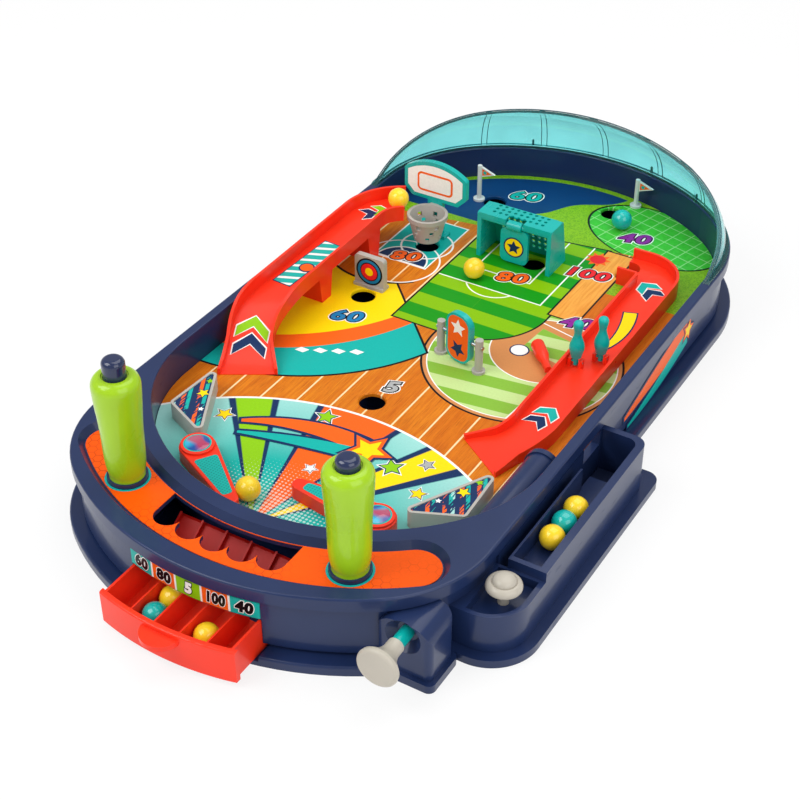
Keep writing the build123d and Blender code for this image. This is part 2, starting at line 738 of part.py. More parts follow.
# The two sides of the control: grip, ring, button, rod, spring, slider, flipper and crank
for s, side, press in ((-1, "left", pressed[0]), (1, "right", pressed[1])):
    gx = s * grip_x
    with BuildPart() as grip:
        with BuildSketch(Plane((gx, grip_y, 0), x_dir=(1, 0, 0), z_dir=(0, -1, 0))):
            with BuildLine():
                foot = Line((rod_width / 2 + slide_gap, deck_low - 2), (grip_spigot, deck_low - 2))
                Line(foot @ 1, (grip_spigot, deck_top))
                Line((grip_spigot, deck_top), (grip_foot, deck_top))
                neck = Line((grip_foot, deck_top), (grip_foot, deck_top + 5))
                side_line = Spline(neck @ 1, (grip_waist, deck_top + 30), (grip_shoulder, grip_top - 6),
                                   tangents=((0.25, 1), (0.02, 1)))
                mouth = grip_recess_width / 2
                Spline(side_line @ 1, (grip_shoulder - 1.6, grip_top - 1.6), (mouth + 1, grip_top),
                       tangents=((0, 1), (-1, 0.05)))
                bore = cap_width / 2 + cap_gap
                Polyline((mouth + 1, grip_top), (mouth, grip_top), (mouth - 0.4, grip_top - grip_recess),
                         (bore, grip_top - grip_recess))
                Line((bore, grip_top - grip_recess), (bore, spring_seat))
                Line((bore, spring_seat), (rod_width / 2 + slide_gap, spring_seat))
                Line((rod_width / 2 + slide_gap, spring_seat), foot @ 0)
            make_face()
        revolve(axis=Axis((gx, grip_y, 0), (0, 0, 1)))
    save(grip, f"{side}_grip")

    with BuildPart() as ring:
        with BuildSketch(Plane.XY.offset(deck_top)):
            with Locations((gx, grip_y)):
                Circle(ring_width / 2)
                Circle(collar_width / 2 + 0.1, mode=Mode.SUBTRACT)
        extrude(amount=ring_thick)
    save(ring, f"{side}_grip_ring")

    with BuildPart() as button:
        with BuildSketch(Plane.XY.offset(cap_bottom - press)):
            with Locations((gx, grip_y)):
                Circle(cap_width / 2)
        extrude(amount=cap_top - cap_bottom)
        fillet(button.edges().group_by(Axis.Z)[-1], 3.2)
    save(button, f"{side}_button")

    with BuildPart() as push_rod:
        with BuildSketch(Plane.XY.offset(foot_low + foot_height - press)):
            with Locations((gx, grip_y)):
                Circle(rod_width / 2)
        extrude(amount=cap_bottom - foot_low - foot_height)
        slope_y = grip_y + 8.5
        with BuildSketch(Plane.YZ.offset(gx)):
            with BuildLine():
                Polyline((grip_y - 4.5, foot_low - press), (slope_y, foot_low - press),
                         (slope_y + 3.5, foot_low + 3.5 - press), (slope_y + 3.5, foot_low + foot_height - press),
                         (grip_y - 4.5, foot_low + foot_height - press), close=True)
            make_face()
        extrude(amount=4.5, both=True)
    save(push_rod, f"{side}_push_rod")

    length = cap_bottom - press - spring_seat - button_wire - 0.3
    spring_foot = (gx, grip_y, spring_seat + button_wire / 2 + 0.15)
    spring = coil(spring_foot, (0, 0, 1), 4.4, button_wire, length, button_turns)
    save(spring, f"{side}_button_spring")

    px = play_x + s * pivot_x
    lift = press / button_travel * 2 * abs(crank_rest)
    crank_angle = radians(crank_rest)
    pin_x = px - s * crank_reach * cos(crank_angle)
    pin_y = pivot_y + crank_reach * sin(crank_angle) + press
    wedge_y = slope_y - (foot_low - slider_low) + 0.43 + press
    with BuildPart() as slider:
        with BuildSketch(Plane.XY.offset(slider_low)):
            slider_face(gx, pin_x, pin_y, wedge_y)
        extrude(amount=slider_thick)
        with BuildSketch(Plane.YZ.offset(gx)):
            with BuildLine():
                Polyline((wedge_y, slider_low), (wedge_y + wedge_height + 2, slider_low),
                         (wedge_y + wedge_height + 2, slider_low + wedge_height),
                         (wedge_y + wedge_height, slider_low + wedge_height), close=True)
            make_face()
        extrude(amount=5, both=True)
    save(slider, f"{side}_drive_slider")

    turn = flipper_rest + lift
    arm = (-s * cos(radians(turn)), sin(radians(turn)), 0)
    with BuildPart() as flipper:
        with BuildSketch(Plane((px, pivot_y, board_top + flipper_lift), x_dir=arm)):
            Circle(flipper_hub)
            with Locations((flipper_reach, 0)):
                Circle(flipper_tip)
            make_hull()
        extrude(amount=flipper_height)
        fillet(flipper.edges().group_by(Axis.Z)[-1], 0.8)
        with BuildSketch(Plane((px, pivot_y, board_top + flipper_lift + flipper_height), x_dir=arm)):
            Circle(flipper_hub - 0.8)
        extrude(amount=hub_rise)
        fillet(flipper.edges().group_by(Axis.Z)[-1], 0.5)
        with BuildSketch(Plane((px, pivot_y, shaft_low))):
            Circle(shaft_width / 2)
        extrude(amount=board_top + flipper_lift - shaft_low)
    save(flipper, f"{side}_flipper")

    angle = radians(crank_rest + lift)
    reach = (-s * cos(angle), sin(angle), 0)
    with BuildPart() as crank:
        with BuildSketch(Plane((px, pivot_y, shaft_low), x_dir=reach)):
            Circle(shaft_width / 2 + 2.5)
            with Locations((crank_reach, 0)):
                Circle(crank_pin / 2 + 1.6)
            make_hull()
            Circle(shaft_width / 2, mode=Mode.SUBTRACT)
        extrude(amount=crank_thick)
        with BuildSketch(Plane((px, pivot_y, slider_low + 0.5), x_dir=reach)):
            with Locations((crank_reach, 0)):
                Circle(crank_pin / 2)
        extrude(amount=shaft_low - slider_low - 0.5)
    save(crank, f"{side}_flipper_crank")

    with BuildPart() as slingshot:
        with BuildSketch(Plane((sling_x, 0, board_top))):
            Polygon(*[(s * x, y) for x, y in sling_corners], align=None)
            fillet(vertices(), sling_round)
        extrude(amount=sling_height)
        top = slingshot.faces().sort_by(Axis.Z)[-1]
        with BuildSketch(Plane((0, 0, board_top + sling_height))):
            add(top)
            offset(amount=-1.6, mode=Mode.REPLACE)
        extrude(amount=-0.6, mode=Mode.SUBTRACT)
    save(slingshot, f"{side}_slingshot")


def ramp_path(start, heading, final_x, turn, back, end_turn, end_angle, exit_run):
    """Middle line of a ramp: straight, an arc round to +Y, straight, and a last arc."""
    swing = 90 - heading
    side = 1 if swing > 0 else -1
    a = radians(heading)
    run = (final_x - start[0] - side * turn * (1 - cos(radians(swing)))) / cos(a)
    with BuildLine(mode=Mode.PRIVATE) as path:
        first = Line(start, (start[0] + run * cos(a), start[1] + run * sin(a)))
        bend = JernArc(first @ 1, first % 1, turn, swing)
        long = Line(bend @ 1, (final_x, back))
        last = JernArc(long @ 1, long % 1, end_turn, end_angle)
        if exit_run > 0:
            Line(last @ 1, (last @ 1) + (last % 1) * exit_run)
    return path.edges()


def ramp_plan(path, start, heading, width, flare, flare_length):
    """Fill the plan of a ramp: a band along the path, with a flared mouth at its front."""
    trace(path, width)
    mouth = Plane((start[0], start[1], 0), x_dir=(cos(radians(heading)), sin(radians(heading)), 0))
    corners = [(0, -flare / 2), (flare_length, -width / 2), (flare_length, width / 2), (0, flare / 2)]
    with BuildSketch(mode=Mode.PRIVATE) as funnel:
        Polygon(*[mouth.from_local_coords(Vector(x, y, 0)) for x, y in corners], align=None)
    add(funnel.sketch)


def ramp_profile(start, heading, low, high, climb, below, above):
    """A solid that keeps everything between two curves parallel to a ramp's rising floor."""
    a = radians(heading)
    side_view = Plane((start[0], start[1], 0), x_dir=(cos(a), sin(a), 0), z_dir=(sin(a), -cos(a), 0))
    end = 2 * far
    with BuildPart() as band:
        with BuildSketch(side_view):
            with BuildLine():
                floor = Spline((0, low - below), (climb, high - below), tangents=((1, 0.12), (1, 0.02)))
                Line(floor @ 1, (end, high - below + 0.02 * (end - climb)))
                Line((end, high - below + 0.02 * (end - climb)), (end, high + above + 0.02 * (end - climb)))
                Line((end, high + above + 0.02 * (end - climb)), (climb, high + above))
                Spline((climb, high + above), (-1, low + 0.45 * above), tangents=((-1, -0.02), (-1, -0.12)))
                Polyline((-1, low + 0.45 * above), (-1, low - below), floor @ 0)
            make_face()
        extrude(amount=far, both=True)
    return band.part


left_path = ramp_path(left_ramp_start, left_ramp_heading, left_ramp_x, left_ramp_turn,
                      left_ramp_back, left_ramp_end_turn, -left_ramp_end_angle, 0)
right_path = ramp_path(right_ramp_start, right_ramp_heading, right_ramp_x, right_ramp_turn,
                       right_ramp_back, right_ramp_corner, 90, right_ramp_exit)
ramp_inner = ramp_width - 2 * ramp_wall
flare_inner = flare_width - 2 * ramp_wall
lip = 0.5

# Left ramp: climbs over the field and drops the ball in the basket
low = board_top + lip
left_walls = ramp_profile(left_ramp_start, left_ramp_heading, low, left_ramp_high, left_ramp_climb,
                          ramp_floor, left_ramp_wall)
left_room = ramp_profile(left_ramp_start, left_ramp_heading, low, left_ramp_high, left_ramp_climb, 0, far)
with BuildPart() as left_channel:
    with BuildSketch(Plane.XY.offset(board_top)):
        ramp_plan(left_path, left_ramp_start, left_ramp_heading, ramp_inner, flare_inner, left_flare_length)
    extrude(amount=far)
    add(left_room, mode=Mode.INTERSECT)
with BuildPart() as left_ramp:
    with BuildSketch(Plane.XY.offset(board_top)):
        ramp_plan(left_path, left_ramp_start, left_ramp_heading, ramp_width, flare_width, left_flare_length)
    extrude(amount=far)
    add(left_walls, mode=Mode.INTERSECT)
    add(left_channel.part, mode=Mode.SUBTRACT)
    for y in leg_y:
        with BuildSketch(Plane.YZ.offset(left_ramp_x - leg_thick / 2)):
            Polygon((y - 5, board_top), (y + 5, board_top), (y + 8, left_ramp_high), (y - 8, left_ramp_high),
                    align=None)
        extrude(amount=1.5 * leg_thick)
save(left_ramp, "left_ramp")

def lane_floor(x, y):
    """Height of the right ramp's floor at a place beyond its climb."""
    a = radians(right_ramp_heading)
    along = (x - right_ramp_start[0]) * cos(a) + (y - right_ramp_start[1]) * sin(a)
    return right_ramp_high + 0.02 * (along - right_ramp_climb)


# Right ramp: a low lane with two skittles that ends over a hole
low = board_top + lip
right_walls = ramp_profile(right_ramp_start, right_ramp_heading, low, right_ramp_high, right_ramp_climb,
                           far, right_ramp_wall)
right_room = ramp_profile(right_ramp_start, right_ramp_heading, low, right_ramp_high, right_ramp_climb,
                          0, far)
with BuildPart() as right_channel:
    with BuildSketch(Plane.XY.offset(board_top)):
        ramp_plan(right_path, right_ramp_start, right_ramp_heading, ramp_inner,
                  right_flare - 2 * ramp_wall, right_flare_length)
    extrude(amount=far)
    add(right_room, mode=Mode.INTERSECT)
with BuildPart() as right_ramp:
    with BuildSketch(Plane.XY.offset(board_top)):
        ramp_plan(right_path, right_ramp_start, right_ramp_heading, ramp_width,
                  right_flare, right_flare_length)
    extrude(amount=far)
    add(right_walls, mode=Mode.INTERSECT)
    add(right_channel.part, mode=Mode.SUBTRACT)
    with Locations((hole_places[4][0], hole_places[4][1], board_top)):
        Cylinder(hole_width / 2, 40, mode=Mode.SUBTRACT)
    for x, y in pin_places:
        axle_z = lane_floor(x, y) + pin_lift
        for s in (-1, 1):
            box(x + s * 3.6 - 1, x + s * 3.6 + 1, y - 2, y + 2, axle_z - pin_lift - 1, axle_z + 2)
        with Locations(Location((x, y, axle_z), (0, 90, 0))):
            Cylinder(pin_axle / 2 + slide_gap, 20, mode=Mode.SUBTRACT)
save(right_ramp, "right_ramp")

# Skittles that tip back on an axle in the right ramp
for name, (x, y) in zip(("front_pin", "rear_pin"), pin_places):
    axle_z = lane_floor(x, y) + pin_lift
    with BuildPart() as pin:
        with BuildSketch(Plane((x, y, axle_z), x_dir=(1, 0, 0), z_dir=(0, -1, 0))):
            with BuildLine():
                tail = Polyline((0, -2.2), (1.5, -2.2), (1.5, 3.4), (3.2, 3.4))
                Spline(tail @ 1, (pin_belly, 11), (2.3, 20), (3.1, 25), (0, pin_height - pin_lift),
                       tangents=((0.2, 1), (-1, 0)))
                Line((0, pin_height - pin_lift), (0, -2.2))
            make_face()
        revolve(axis=Axis((x, y, 0), (0, 0, 1)))
        with Locations(Location((x, y, axle_z), (0, 90, 0))):
            Cylinder(pin_axle / 2, 9)
    save(pin, name)

# Bat that lies in front of the lane
bat_dx = bat_tip[0] - bat_end[0]
bat_dy = bat_tip[1] - bat_end[1]
bat_long = sqrt(bat_dx**2 + bat_dy**2)
bat_way = (bat_dx / bat_long, bat_dy / bat_long, 0)
bat_z = board_top + bat_thick
with BuildPart() as bat:
    bat_side = (bat_way[1], -bat_way[0], 0)
    with BuildSketch(Plane((bat_end[0], bat_end[1], bat_z), x_dir=bat_way, z_dir=bat_side)):
        with BuildLine():
            Line((0, 0), (0, bat_thick - 1.5))
            RadiusArc((0, bat_thick - 1.5), (1.5, bat_thick), 1.5)
            Line((1.5, bat_thick), (0.4 * bat_long, bat_thick))
            Spline((0.4 * bat_long, bat_thick), (0.8 * bat_long, bat_thin), tangents=((1, 0), (1, 0)))
            Polyline((0.8 * bat_long, bat_thin), (bat_long, bat_thin), (bat_long, 0), (0, 0))
        make_face()
    revolve(axis=Axis((bat_end[0], bat_end[1], bat_z), bat_way))
    foot_plane = Plane((bat_end[0], bat_end[1], board_top), x_dir=bat_way)
    with BuildSketch(foot_plane):
        with Locations((bat_long / 2, 0)):
            Rectangle(bat_long - 6, 2.4)
    extrude(amount=bat_thick)
save(bat, "bat")

# Goal: closed sides with a crossbar, and the net behind and over it
goal_mid = (goal_left + goal_right) / 2
bar_y = goal_front + 2
bar_z = goal_top - bar_drop
goal_sides = ((goal_front, board_top), (goal_front + goal_depth_foot, board_top),
              (goal_front + goal_depth_top, goal_top), (goal_front, goal_top))
with BuildPart() as goal:
    for x in (goal_left, goal_right - goal_wall):
        with BuildSketch(Plane.YZ.offset(x)):
            Polygon(*goal_sides, align=None)
            fillet(vertices().group_by(Axis.Y)[-1], 1.5)
        extrude(amount=goal_wall)
    with Locations(Location((goal_mid, bar_y, bar_z), (0, 90, 0))):
        Cylinder(bar_width / 2, goal_right - goal_left - 2)
    for x0, x1 in ((goal_left + 1, goal_mid - notch_half), (goal_mid + notch_half, goal_right - 1)):
        box(x0, x1, goal_front, goal_front + beam_deep, goal_top - beam_high, goal_top)
save(goal, "goal")

slope = sqrt((goal_depth_foot - goal_depth_top) ** 2 + (goal_top - board_top) ** 2)
lean = ((goal_depth_top - goal_depth_foot) / slope, (goal_top - board_top) / slope)
net_wide = goal_right - goal_left - 2 * goal_wall
net_columns = int(net_wide / net_pitch) - 1
net_back = (goal_front + goal_depth_foot, board_top)
net_plane = Plane((goal_mid, *net_back), x_dir=(1, 0, 0), z_dir=(0, -lean[1], lean[0]))
roof_front = goal_front + beam_deep
roof_back = goal_front + goal_depth_top - 0.6
with BuildPart() as goal_net:
    with BuildSketch(net_plane):
        with Locations((0, slope / 2)):
            Rectangle(net_wide, slope - 0.8)
        with Locations((0, slope / 2)):
            with GridLocations(net_pitch, net_pitch, net_columns, int(slope / net_pitch) - 1):
                RegularPolygon(net_hole / 2, 6, mode=Mode.SUBTRACT)
    extrude(amount=net_thick)
    with BuildSketch(Plane.XY.offset(goal_top - net_thick)):
        with Locations((goal_mid, (roof_back + roof_front) / 2)):
            Rectangle(net_wide, roof_back - roof_front)
        with Locations((goal_mid, (roof_back + roof_front) / 2 + 0.6)):
            with GridLocations(net_pitch, net_pitch, net_columns, 3):
                RegularPolygon(net_hole / 2, 6, mode=Mode.SUBTRACT)
        with Locations((goal_mid, roof_front)):
            Rectangle(2 * notch_half, 2 * (bar_y + knuckle_width / 2 + 0.5 - roof_front), mode=Mode.SUBTRACT)
    extrude(amount=net_thick)
save(goal_net, "goal_net")

# Keeper plate that hangs and swings on the crossbar
with BuildPart() as goalkeeper:
    with Locations(Location((goal_mid, bar_y, bar_z), (0, 90, 0))):
        Cylinder(knuckle_width / 2, keeper_width / 2)
    with BuildSketch(Plane.XZ.offset(-bar_y)):
        with Locations((goal_mid, bar_z - keeper_height / 2 - 1)):
            RectangleRounded(keeper_width, keeper_height - 2, 4)
    extrude(amount=keeper_thick / 2, both=True)
    with Locations(Location((goal_mid, bar_y, bar_z), (0, 90, 0))):
        Cylinder(bar_width / 2 + slide_gap, 2 * keeper_width, mode=Mode.SUBTRACT)
save(goalkeeper, "goalkeeper")

# Spinner: two posts, an axle and a plate that turns with it
spin_z = board_top + spinner_axle_z
spin = Location((spinner_at[0], spinner_at[1], spin_z), (0, 0, spinner_turn))
spin_low = Location((spinner_at[0], spinner_at[1], board_top), (0, 0, spinner_turn))
with BuildPart() as spinner_posts:
    for s in (-1, 1):
        with Locations(spin_low * Pos(s * spinner_gap / 2, 0, 0)):
            Cylinder(post_width / 2, post_height, align=(Align.CENTER, Align.CENTER, Align.MIN))
            Cylinder(post_width / 2 + 1.6, 1.6, align=(Align.CENTER, Align.CENTER, Align.MIN))
    with Locations(spin * Location((0, 0, 0), (0, 90, 0))):
        Cylinder(axle_width / 2 + slide_gap, 2 * spinner_gap, mode=Mode.SUBTRACT)
save(spinner_posts, "spinner_posts")
with BuildPart() as spinner_plate:
    with Locations(spin):
        Box(spinner_width, spinner_thick, spinner_height)
    fillet(spinner_plate.edges().filter_by(lambda e: abs(e.length - spinner_thick) < 0.01), spinner_round)
    with Locations(spin * Location((0, 0, 0), (0, 90, 0))):
        Cylinder(axle_width / 2, spinner_gap, mode=Mode.SUBTRACT)
save(spinner_plate, "spinner_plate")
with BuildPart() as spinner_axle:
    with Locations(spin * Location((0, 0, 0), (0, 90, 0))):
        Cylinder(axle_width / 2, spinner_gap + post_width + 1)
save(spinner_axle, "spinner_axle")

# Target, backboard, basket and flags
with BuildPart() as target:
    with BuildSketch(Plane.XZ.offset(-target_at[1])):
        with Locations((target_at[0], board_top + target_height / 2)):
            Rectangle(target_width, target_height)
        fillet(vertices().group_by(Axis.Y)[-1], target_round)
    extrude(amount=target_thick / 2, both=True)
    box(target_at[0] - target_width / 2, target_at[0] + target_width / 2,
        target_at[1] - target_thick, target_at[1] + target_thick, board_top, board_top + 2)
save(target, "target")
with BuildPart() as backboard:
    half = backboard_width / 2
    with BuildSketch(Plane((board_at[0], board_at[1], 0), x_dir=(1, 0, 0), z_dir=(0, -1, 0))):
        with BuildLine():
            foot = Polyline((-half, backboard_side), (-half, backboard_low + backboard_cut),
                            (backboard_cut - half, backboard_low), (half - backboard_cut, backboard_low),
                            (half, backboard_low + backboard_cut), (half, backboard_side))
            ThreePointArc(foot @ 1, (0, backboard_high), foot @ 0)
        make_face()
        fillet(vertices(), 2.5)
        with Locations((0, (board_top + backboard_low + 4) / 2)):
            Rectangle(11, backboard_low + 4 - board_top)
    extrude(amount=backboard_thick / 2, both=True)
    box(board_at[0] - 9, board_at[0] + 9, board_at[1] - 4, board_at[1] + 4, board_top, board_top + 2)
save(backboard, "backboard")
with BuildPart() as basket:
    with BuildSketch(Plane((basket_at[0], basket_at[1], 0), x_dir=(1, 0, 0), z_dir=(0, -1, 0))):
        with BuildLine():
            Polyline((basket_foot - basket_wall, basket_low), (basket_foot, basket_low),
                     (basket_rim - 0.8, basket_high - 3), (basket_rim, basket_high - 3), (basket_rim, basket_high),
                     (basket_rim - 2, basket_high), (basket_foot - basket_wall, basket_low))
        make_face()
    revolve(axis=Axis((basket_at[0], basket_at[1], 0), (0, 0, 1)))
    for row, (up, size) in enumerate(((4.0, 2.6), (8.5, 2.9), (12.8, 3.2))):
        with BuildSketch(Plane.XY.offset(basket_low + up - size / 2)):
            with Locations(basket_at):
                with PolarLocations(0, 6, start_angle=15 * row):
                    Rectangle(4 * basket_rim, size)
        extrude(amount=size, mode=Mode.SUBTRACT)
    box(board_at[0] - 3, board_at[0] + 3, basket_at[1] + basket_rim - 2, board_at[1] - backboard_thick / 2,
        basket_high - 3, basket_high)
save(basket, "basket")
for name, (x, y), tall in zip(("lake_flag", "green_flag"), flag_places, flag_heights):
    with BuildPart() as flag:
        with Locations((x, y, board_top)):
            Cylinder(flag_pole / 2, tall, align=(Align.CENTER, Align.CENTER, Align.MIN))
            Cylinder(4, 1.5, align=(Align.CENTER, Align.CENTER, Align.MIN))
        top = board_top + tall
        with BuildSketch(Plane.XZ.offset(-y)):
            Polygon((x, top), (x + flag_reach, top - flag_drop / 2), (x, top - flag_drop), align=None)
        extrude(amount=0.7, both=True)
    save(flag, name)

# Launch tube on the board
with BuildPart() as launch_tube:
    rod_y(lane_x, tube_end, tube_mouth, lane_axis_z, tube_width / 2)
    rod_y(lane_x, tube_mouth - mouth_length, tube_mouth, lane_axis_z, mouth_width / 2)
    rod_y(lane_x, tube_end - 1, tube_mouth + 1, lane_axis_z, tube_width / 2 - tube_wall, mode=Mode.SUBTRACT)
    with BuildSketch(Plane.XY.offset(board_top)):
        outline_face(well_shape, -board_gap)
    extrude(amount=rim_height, mode=Mode.INTERSECT)
save(launch_tube, "launch_tube")

# Plunger: housing on the body, rod with its collar, spring and knob
with BuildPart() as plunger_housing:
    with BuildSketch():
        beside_body(nose_left, nose_right, nose_front, nose_back, 4)
    extrude(amount=nose_high)
    with BuildSketch(Plane((lane_x, nose_front - 1, 0), x_dir=(1, 0, 0), z_dir=(0, -1, 0))):
        with Locations((0, nose_high / 2)):
            Rectangle(nose_right - nose_left, nose_high)
        fillet(vertices().group_by(Axis.Y)[-1], nose_round)
    extrude(amount=nose_front - nose_back - 2, mode=Mode.INTERSECT)
    with BuildSketch():
        beside_body(nose_left - 2.5, nose_right + 2.5, nose_front - 2.5, nose_back + 1, 4)
    extrude(amount=tray_flange_height)
    rod_y(lane_x, nose_front + 2, sleeve_end, plunger_z, sleeve_width / 2)
    rod_y(lane_x, nose_front - 5, sleeve_end + 5, plunger_z, plunger_rod / 2 + slide_gap, mode=Mode.SUBTRACT)
    rod_y(lane_x, sleeve_end, nose_back + 5, plunger_z, collar_disc / 2 + running_gap, mode=Mode.SUBTRACT)
    with Locations(Location((lane_x, nose_front + nose_niche_depth / 2, plunger_z), (90, 0, 0))):
        Cone(plunger_rod / 2 + 2, nose_niche, nose_niche_depth, mode=Mode.SUBTRACT)
save(plunger_housing, "plunger_housing")
with BuildPart() as plunger_rod_piece:
    rod_y(lane_x, plunger_neck - plunger_socket, plunger_tip, plunger_z, plunger_rod / 2)
    rod_y(lane_x, collar_y - collar_thick / 2, collar_y + collar_thick / 2, plunger_z, collar_disc / 2)
    fillet(plunger_rod_piece.edges().group_by(Axis.Y)[-1], 1.2)
save(plunger_rod_piece, "plunger_rod")
with BuildPart() as plunger_knob_piece:
    with BuildSketch(Plane((lane_x, 0, plunger_z))):
        with BuildLine():
            big = plunger_knob / 2
            neck = plunger_neck_width / 2
            face = Polyline((0, plunger_front), (big - 2, plunger_front))
            RadiusArc(face @ 1, (big, plunger_front + 2), -2)
            Line((big, plunger_front + 2), (big - 0.3, plunger_front + 3.5))
            Spline((big - 0.3, plunger_front + 3.5), (neck, plunger_front + 15),
                   tangents=((-0.8, 1), (-0.05, 1)))
            Polyline((neck, plunger_front + 15), (neck, plunger_neck), (plunger_rod / 2, plunger_neck),
                     (plunger_rod / 2, plunger_neck - plunger_socket), (0, plunger_neck - plunger_socket),
                     (0, plunger_front))
        make_face()
    revolve(axis=Axis((lane_x, 0, plunger_z), (0, 1, 0)))
save(plunger_knob_piece, "plunger_knob")
length = collar_y - collar_thick / 2 - sleeve_end - spring_wire - 0.3
plunger_spring = coil((lane_x, sleeve_end + spring_wire / 2 + 0.15, plunger_z), (0, 1, 0), 4.9, spring_wire,
                      length, spring_turns)
save(plunger_spring, "plunger_spring")

# Ball tray beside the body, with the loader's pocket, lever channel and lifting well
inner_x = wall_x + 1.5
trough_x = inner_x + lever_slot + 1.3
trough_end = trough_x + trough_width
well_floor = 6.0
with BuildPart() as ball_tray:
    with BuildSketch():
        beside_body(wall_x - 15, tray_edge, tray_front, tray_back, 8, tray_round)
    extrude(amount=tray_high)
    box(wall_x - 20, tray_edge + 5, tray_front - 5, pocket_back, pocket_rim, far, mode=Mode.SUBTRACT)
    with BuildSketch():
        beside_body(wall_x - 15, tray_edge + tray_flange, tray_front - tray_flange, tray_back + 10, 8,
                    tray_round + tray_flange)
    extrude(amount=tray_flange_height)
    with BuildSketch(Plane.YZ.offset(trough_x)):
        Polygon((pocket_back + 3, trough_front_floor), (well_back_y, trough_back_floor),
                (well_back_y, far), (pocket_back + 3, far), align=None)
    extrude(amount=trough_width, mode=Mode.SUBTRACT)
    box(inner_x, inner_x + lever_slot, pocket_back, tray_back - 4, well_floor, far, mode=Mode.SUBTRACT)
    with BuildSketch(Plane.XY.offset(well_floor)):
        with Locations(((inner_x + trough_end) / 2, (well_back_y + tray_back - 4) / 2)):
            Rectangle(trough_end - inner_x, tray_back - 4 - well_back_y)
        fillet(max(vertices(), key=lambda v: v.X + v.Y), well_round)
    extrude(amount=far, mode=Mode.SUBTRACT)
    box(inner_x, trough_x + 1, fin_back, well_back_y, trough_back_floor, far, mode=Mode.SUBTRACT)
    with BuildSketch(Plane.XY.offset(pocket_floor)):
        with Locations(((wall_x + tray_edge - 0.5) / 2, (tray_front + pocket_back + 0.5) / 2)):
            Rectangle(tray_edge - wall_x - 5.5, pocket_back - tray_front - 4.5)
        fillet(max(vertices(), key=lambda v: v.X - v.Y), tray_round - 3)
    extrude(amount=far, mode=Mode.SUBTRACT)
    pocket_under = pocket_floor - pocket_floor_thick
    box(inner_x, knob_x + 5, knob_y - 9, pocket_back + 1, well_floor, pocket_under, mode=Mode.SUBTRACT)
    with Locations((knob_x, knob_y, pocket_floor)):
        Cylinder(knob_stem / 2 + slide_gap, 10, mode=Mode.SUBTRACT)
    box(trough_x + 1, trough_end - 1, pocket_back + 5, well_back_y - 2, -1, trough_back_floor - 3,
        mode=Mode.SUBTRACT)
    with Locations(Location((trough_x, pivot_lever_y, pivot_lever_z), (0, 90, 0))):
        Cylinder(lever_pin / 2, 17, mode=Mode.SUBTRACT)
    box(wall_x - 1, inner_x + 0.1, gate_front, gate_back, board_top, far, mode=Mode.SUBTRACT)
save(ball_tray, "ball_tray")

# Loader: a knob that pushes the front of a rocking lever, whose back end lifts the ball
pad_y = knob_y - 6
paddle_y = (well_back_y + 2, tray_back - 6)
lever_x = inner_x + 0.7
paddle_top = well_floor + 2.6
with BuildPart() as loader_lever:
    with BuildSketch(Plane.YZ.offset(lever_x)):
        Polygon((pad_y, lever_pad), (knob_y + 6, lever_pad), (pivot_lever_y, pivot_lever_z + 3.5),
                (fin_back, 11), (paddle_y[0], paddle_top), (paddle_y[1], paddle_top), (paddle_y[1], well_floor + 0.4),
                (paddle_y[0], well_floor + 0.4), (fin_back, 8), (pivot_lever_y, pivot_lever_z - 3.5),
                (knob_y + 6, lever_pad - 4), (pad_y, lever_pad - 4), align=None)
    extrude(amount=lever_thick - 0.5)
    box(lever_x, knob_x + 3, pad_y, knob_y + 6, lever_pad - 4, lever_pad)
    with BuildSketch(Plane.XY.offset(well_floor + 0.4)):
        with Locations(((lever_x + trough_end - 1.5) / 2, (paddle_y[0] + paddle_y[1]) / 2)):
            Rectangle(trough_end - 1.5 - lever_x, paddle_y[1] - paddle_y[0])
        fillet(max(vertices(), key=lambda v: v.X + v.Y), well_round - 1)
    extrude(amount=paddle_top - well_floor - 0.4)
    with Locations(Location((lever_x, pivot_lever_y, pivot_lever_z), (0, 90, 0))):
        Cylinder(lever_pin / 2 + slide_gap, 20, mode=Mode.SUBTRACT)
save(loader_lever, "loader_lever")
with BuildPart() as loader_pin:
    pin_start = wall_x + 0.3
    pin_end = trough_x + 1
    with Locations(Location(((pin_start + pin_end) / 2, pivot_lever_y, pivot_lever_z), (0, 90, 0))):
        Cylinder(lever_pin / 2, pin_end - pin_start)
save(loader_pin, "loader_pin")
with BuildPart() as loader_knob:
    with BuildSketch(Plane((knob_x, knob_y, 0), x_dir=(1, 0, 0), z_dir=(0, -1, 0))):
        with BuildLine():
            tip_z = lever_pad + 0.4
            stem = knob_stem / 2
            RadiusArc((0, tip_z), (stem, tip_z + stem), -stem)
            rim = knob_width / 2
            Polyline((stem, tip_z + stem), (stem, knob_low), (rim - 1.5, knob_low), (rim, knob_low + 1.5))
            cap = Spline((rim, knob_low + 1.5), (rim - 2.6, knob_low + 5.4), tangents=((0.2, 1), (-1, 0.2)))
            crown = Line(cap @ 1, (rim - 3.2, knob_low + 5.1))
            Spline(crown @ 1, (0, knob_top), tangents=((-0.1, 1), (-1, 0)))
            Line((0, knob_top), (0, tip_z))
        make_face()
    revolve(axis=Axis((knob_x, knob_y, 0), (0, 0, 1)))
save(loader_knob, "loader_knob")


def dome_profile(radius, inside, outside):
    """Draw the dome's wall section at a given plan radius: two quarter ellipses and their ends."""
    top = 62
    middle = radius - dome_depth
    with BuildLine() as section:
        outer = EllipticalCenterArc((middle, 0), dome_depth + outside, dome_height + outside, arc_size=top)
        inner = EllipticalCenterArc((middle, 0), dome_depth - inside, dome_height - inside, arc_size=top)
        Line(outer @ 0, inner @ 0)
        Line(outer @ 1, inner @ 1)
    make_face(section.edges())


def dome_plane(x, y, angle):
    """Upright plane through a vertical axis, at an angle in plan."""
    a = radians(angle)
    return Plane((x, y, rim_height), x_dir=(cos(a), sin(a), 0), z_dir=(sin(a), -cos(a), 0))


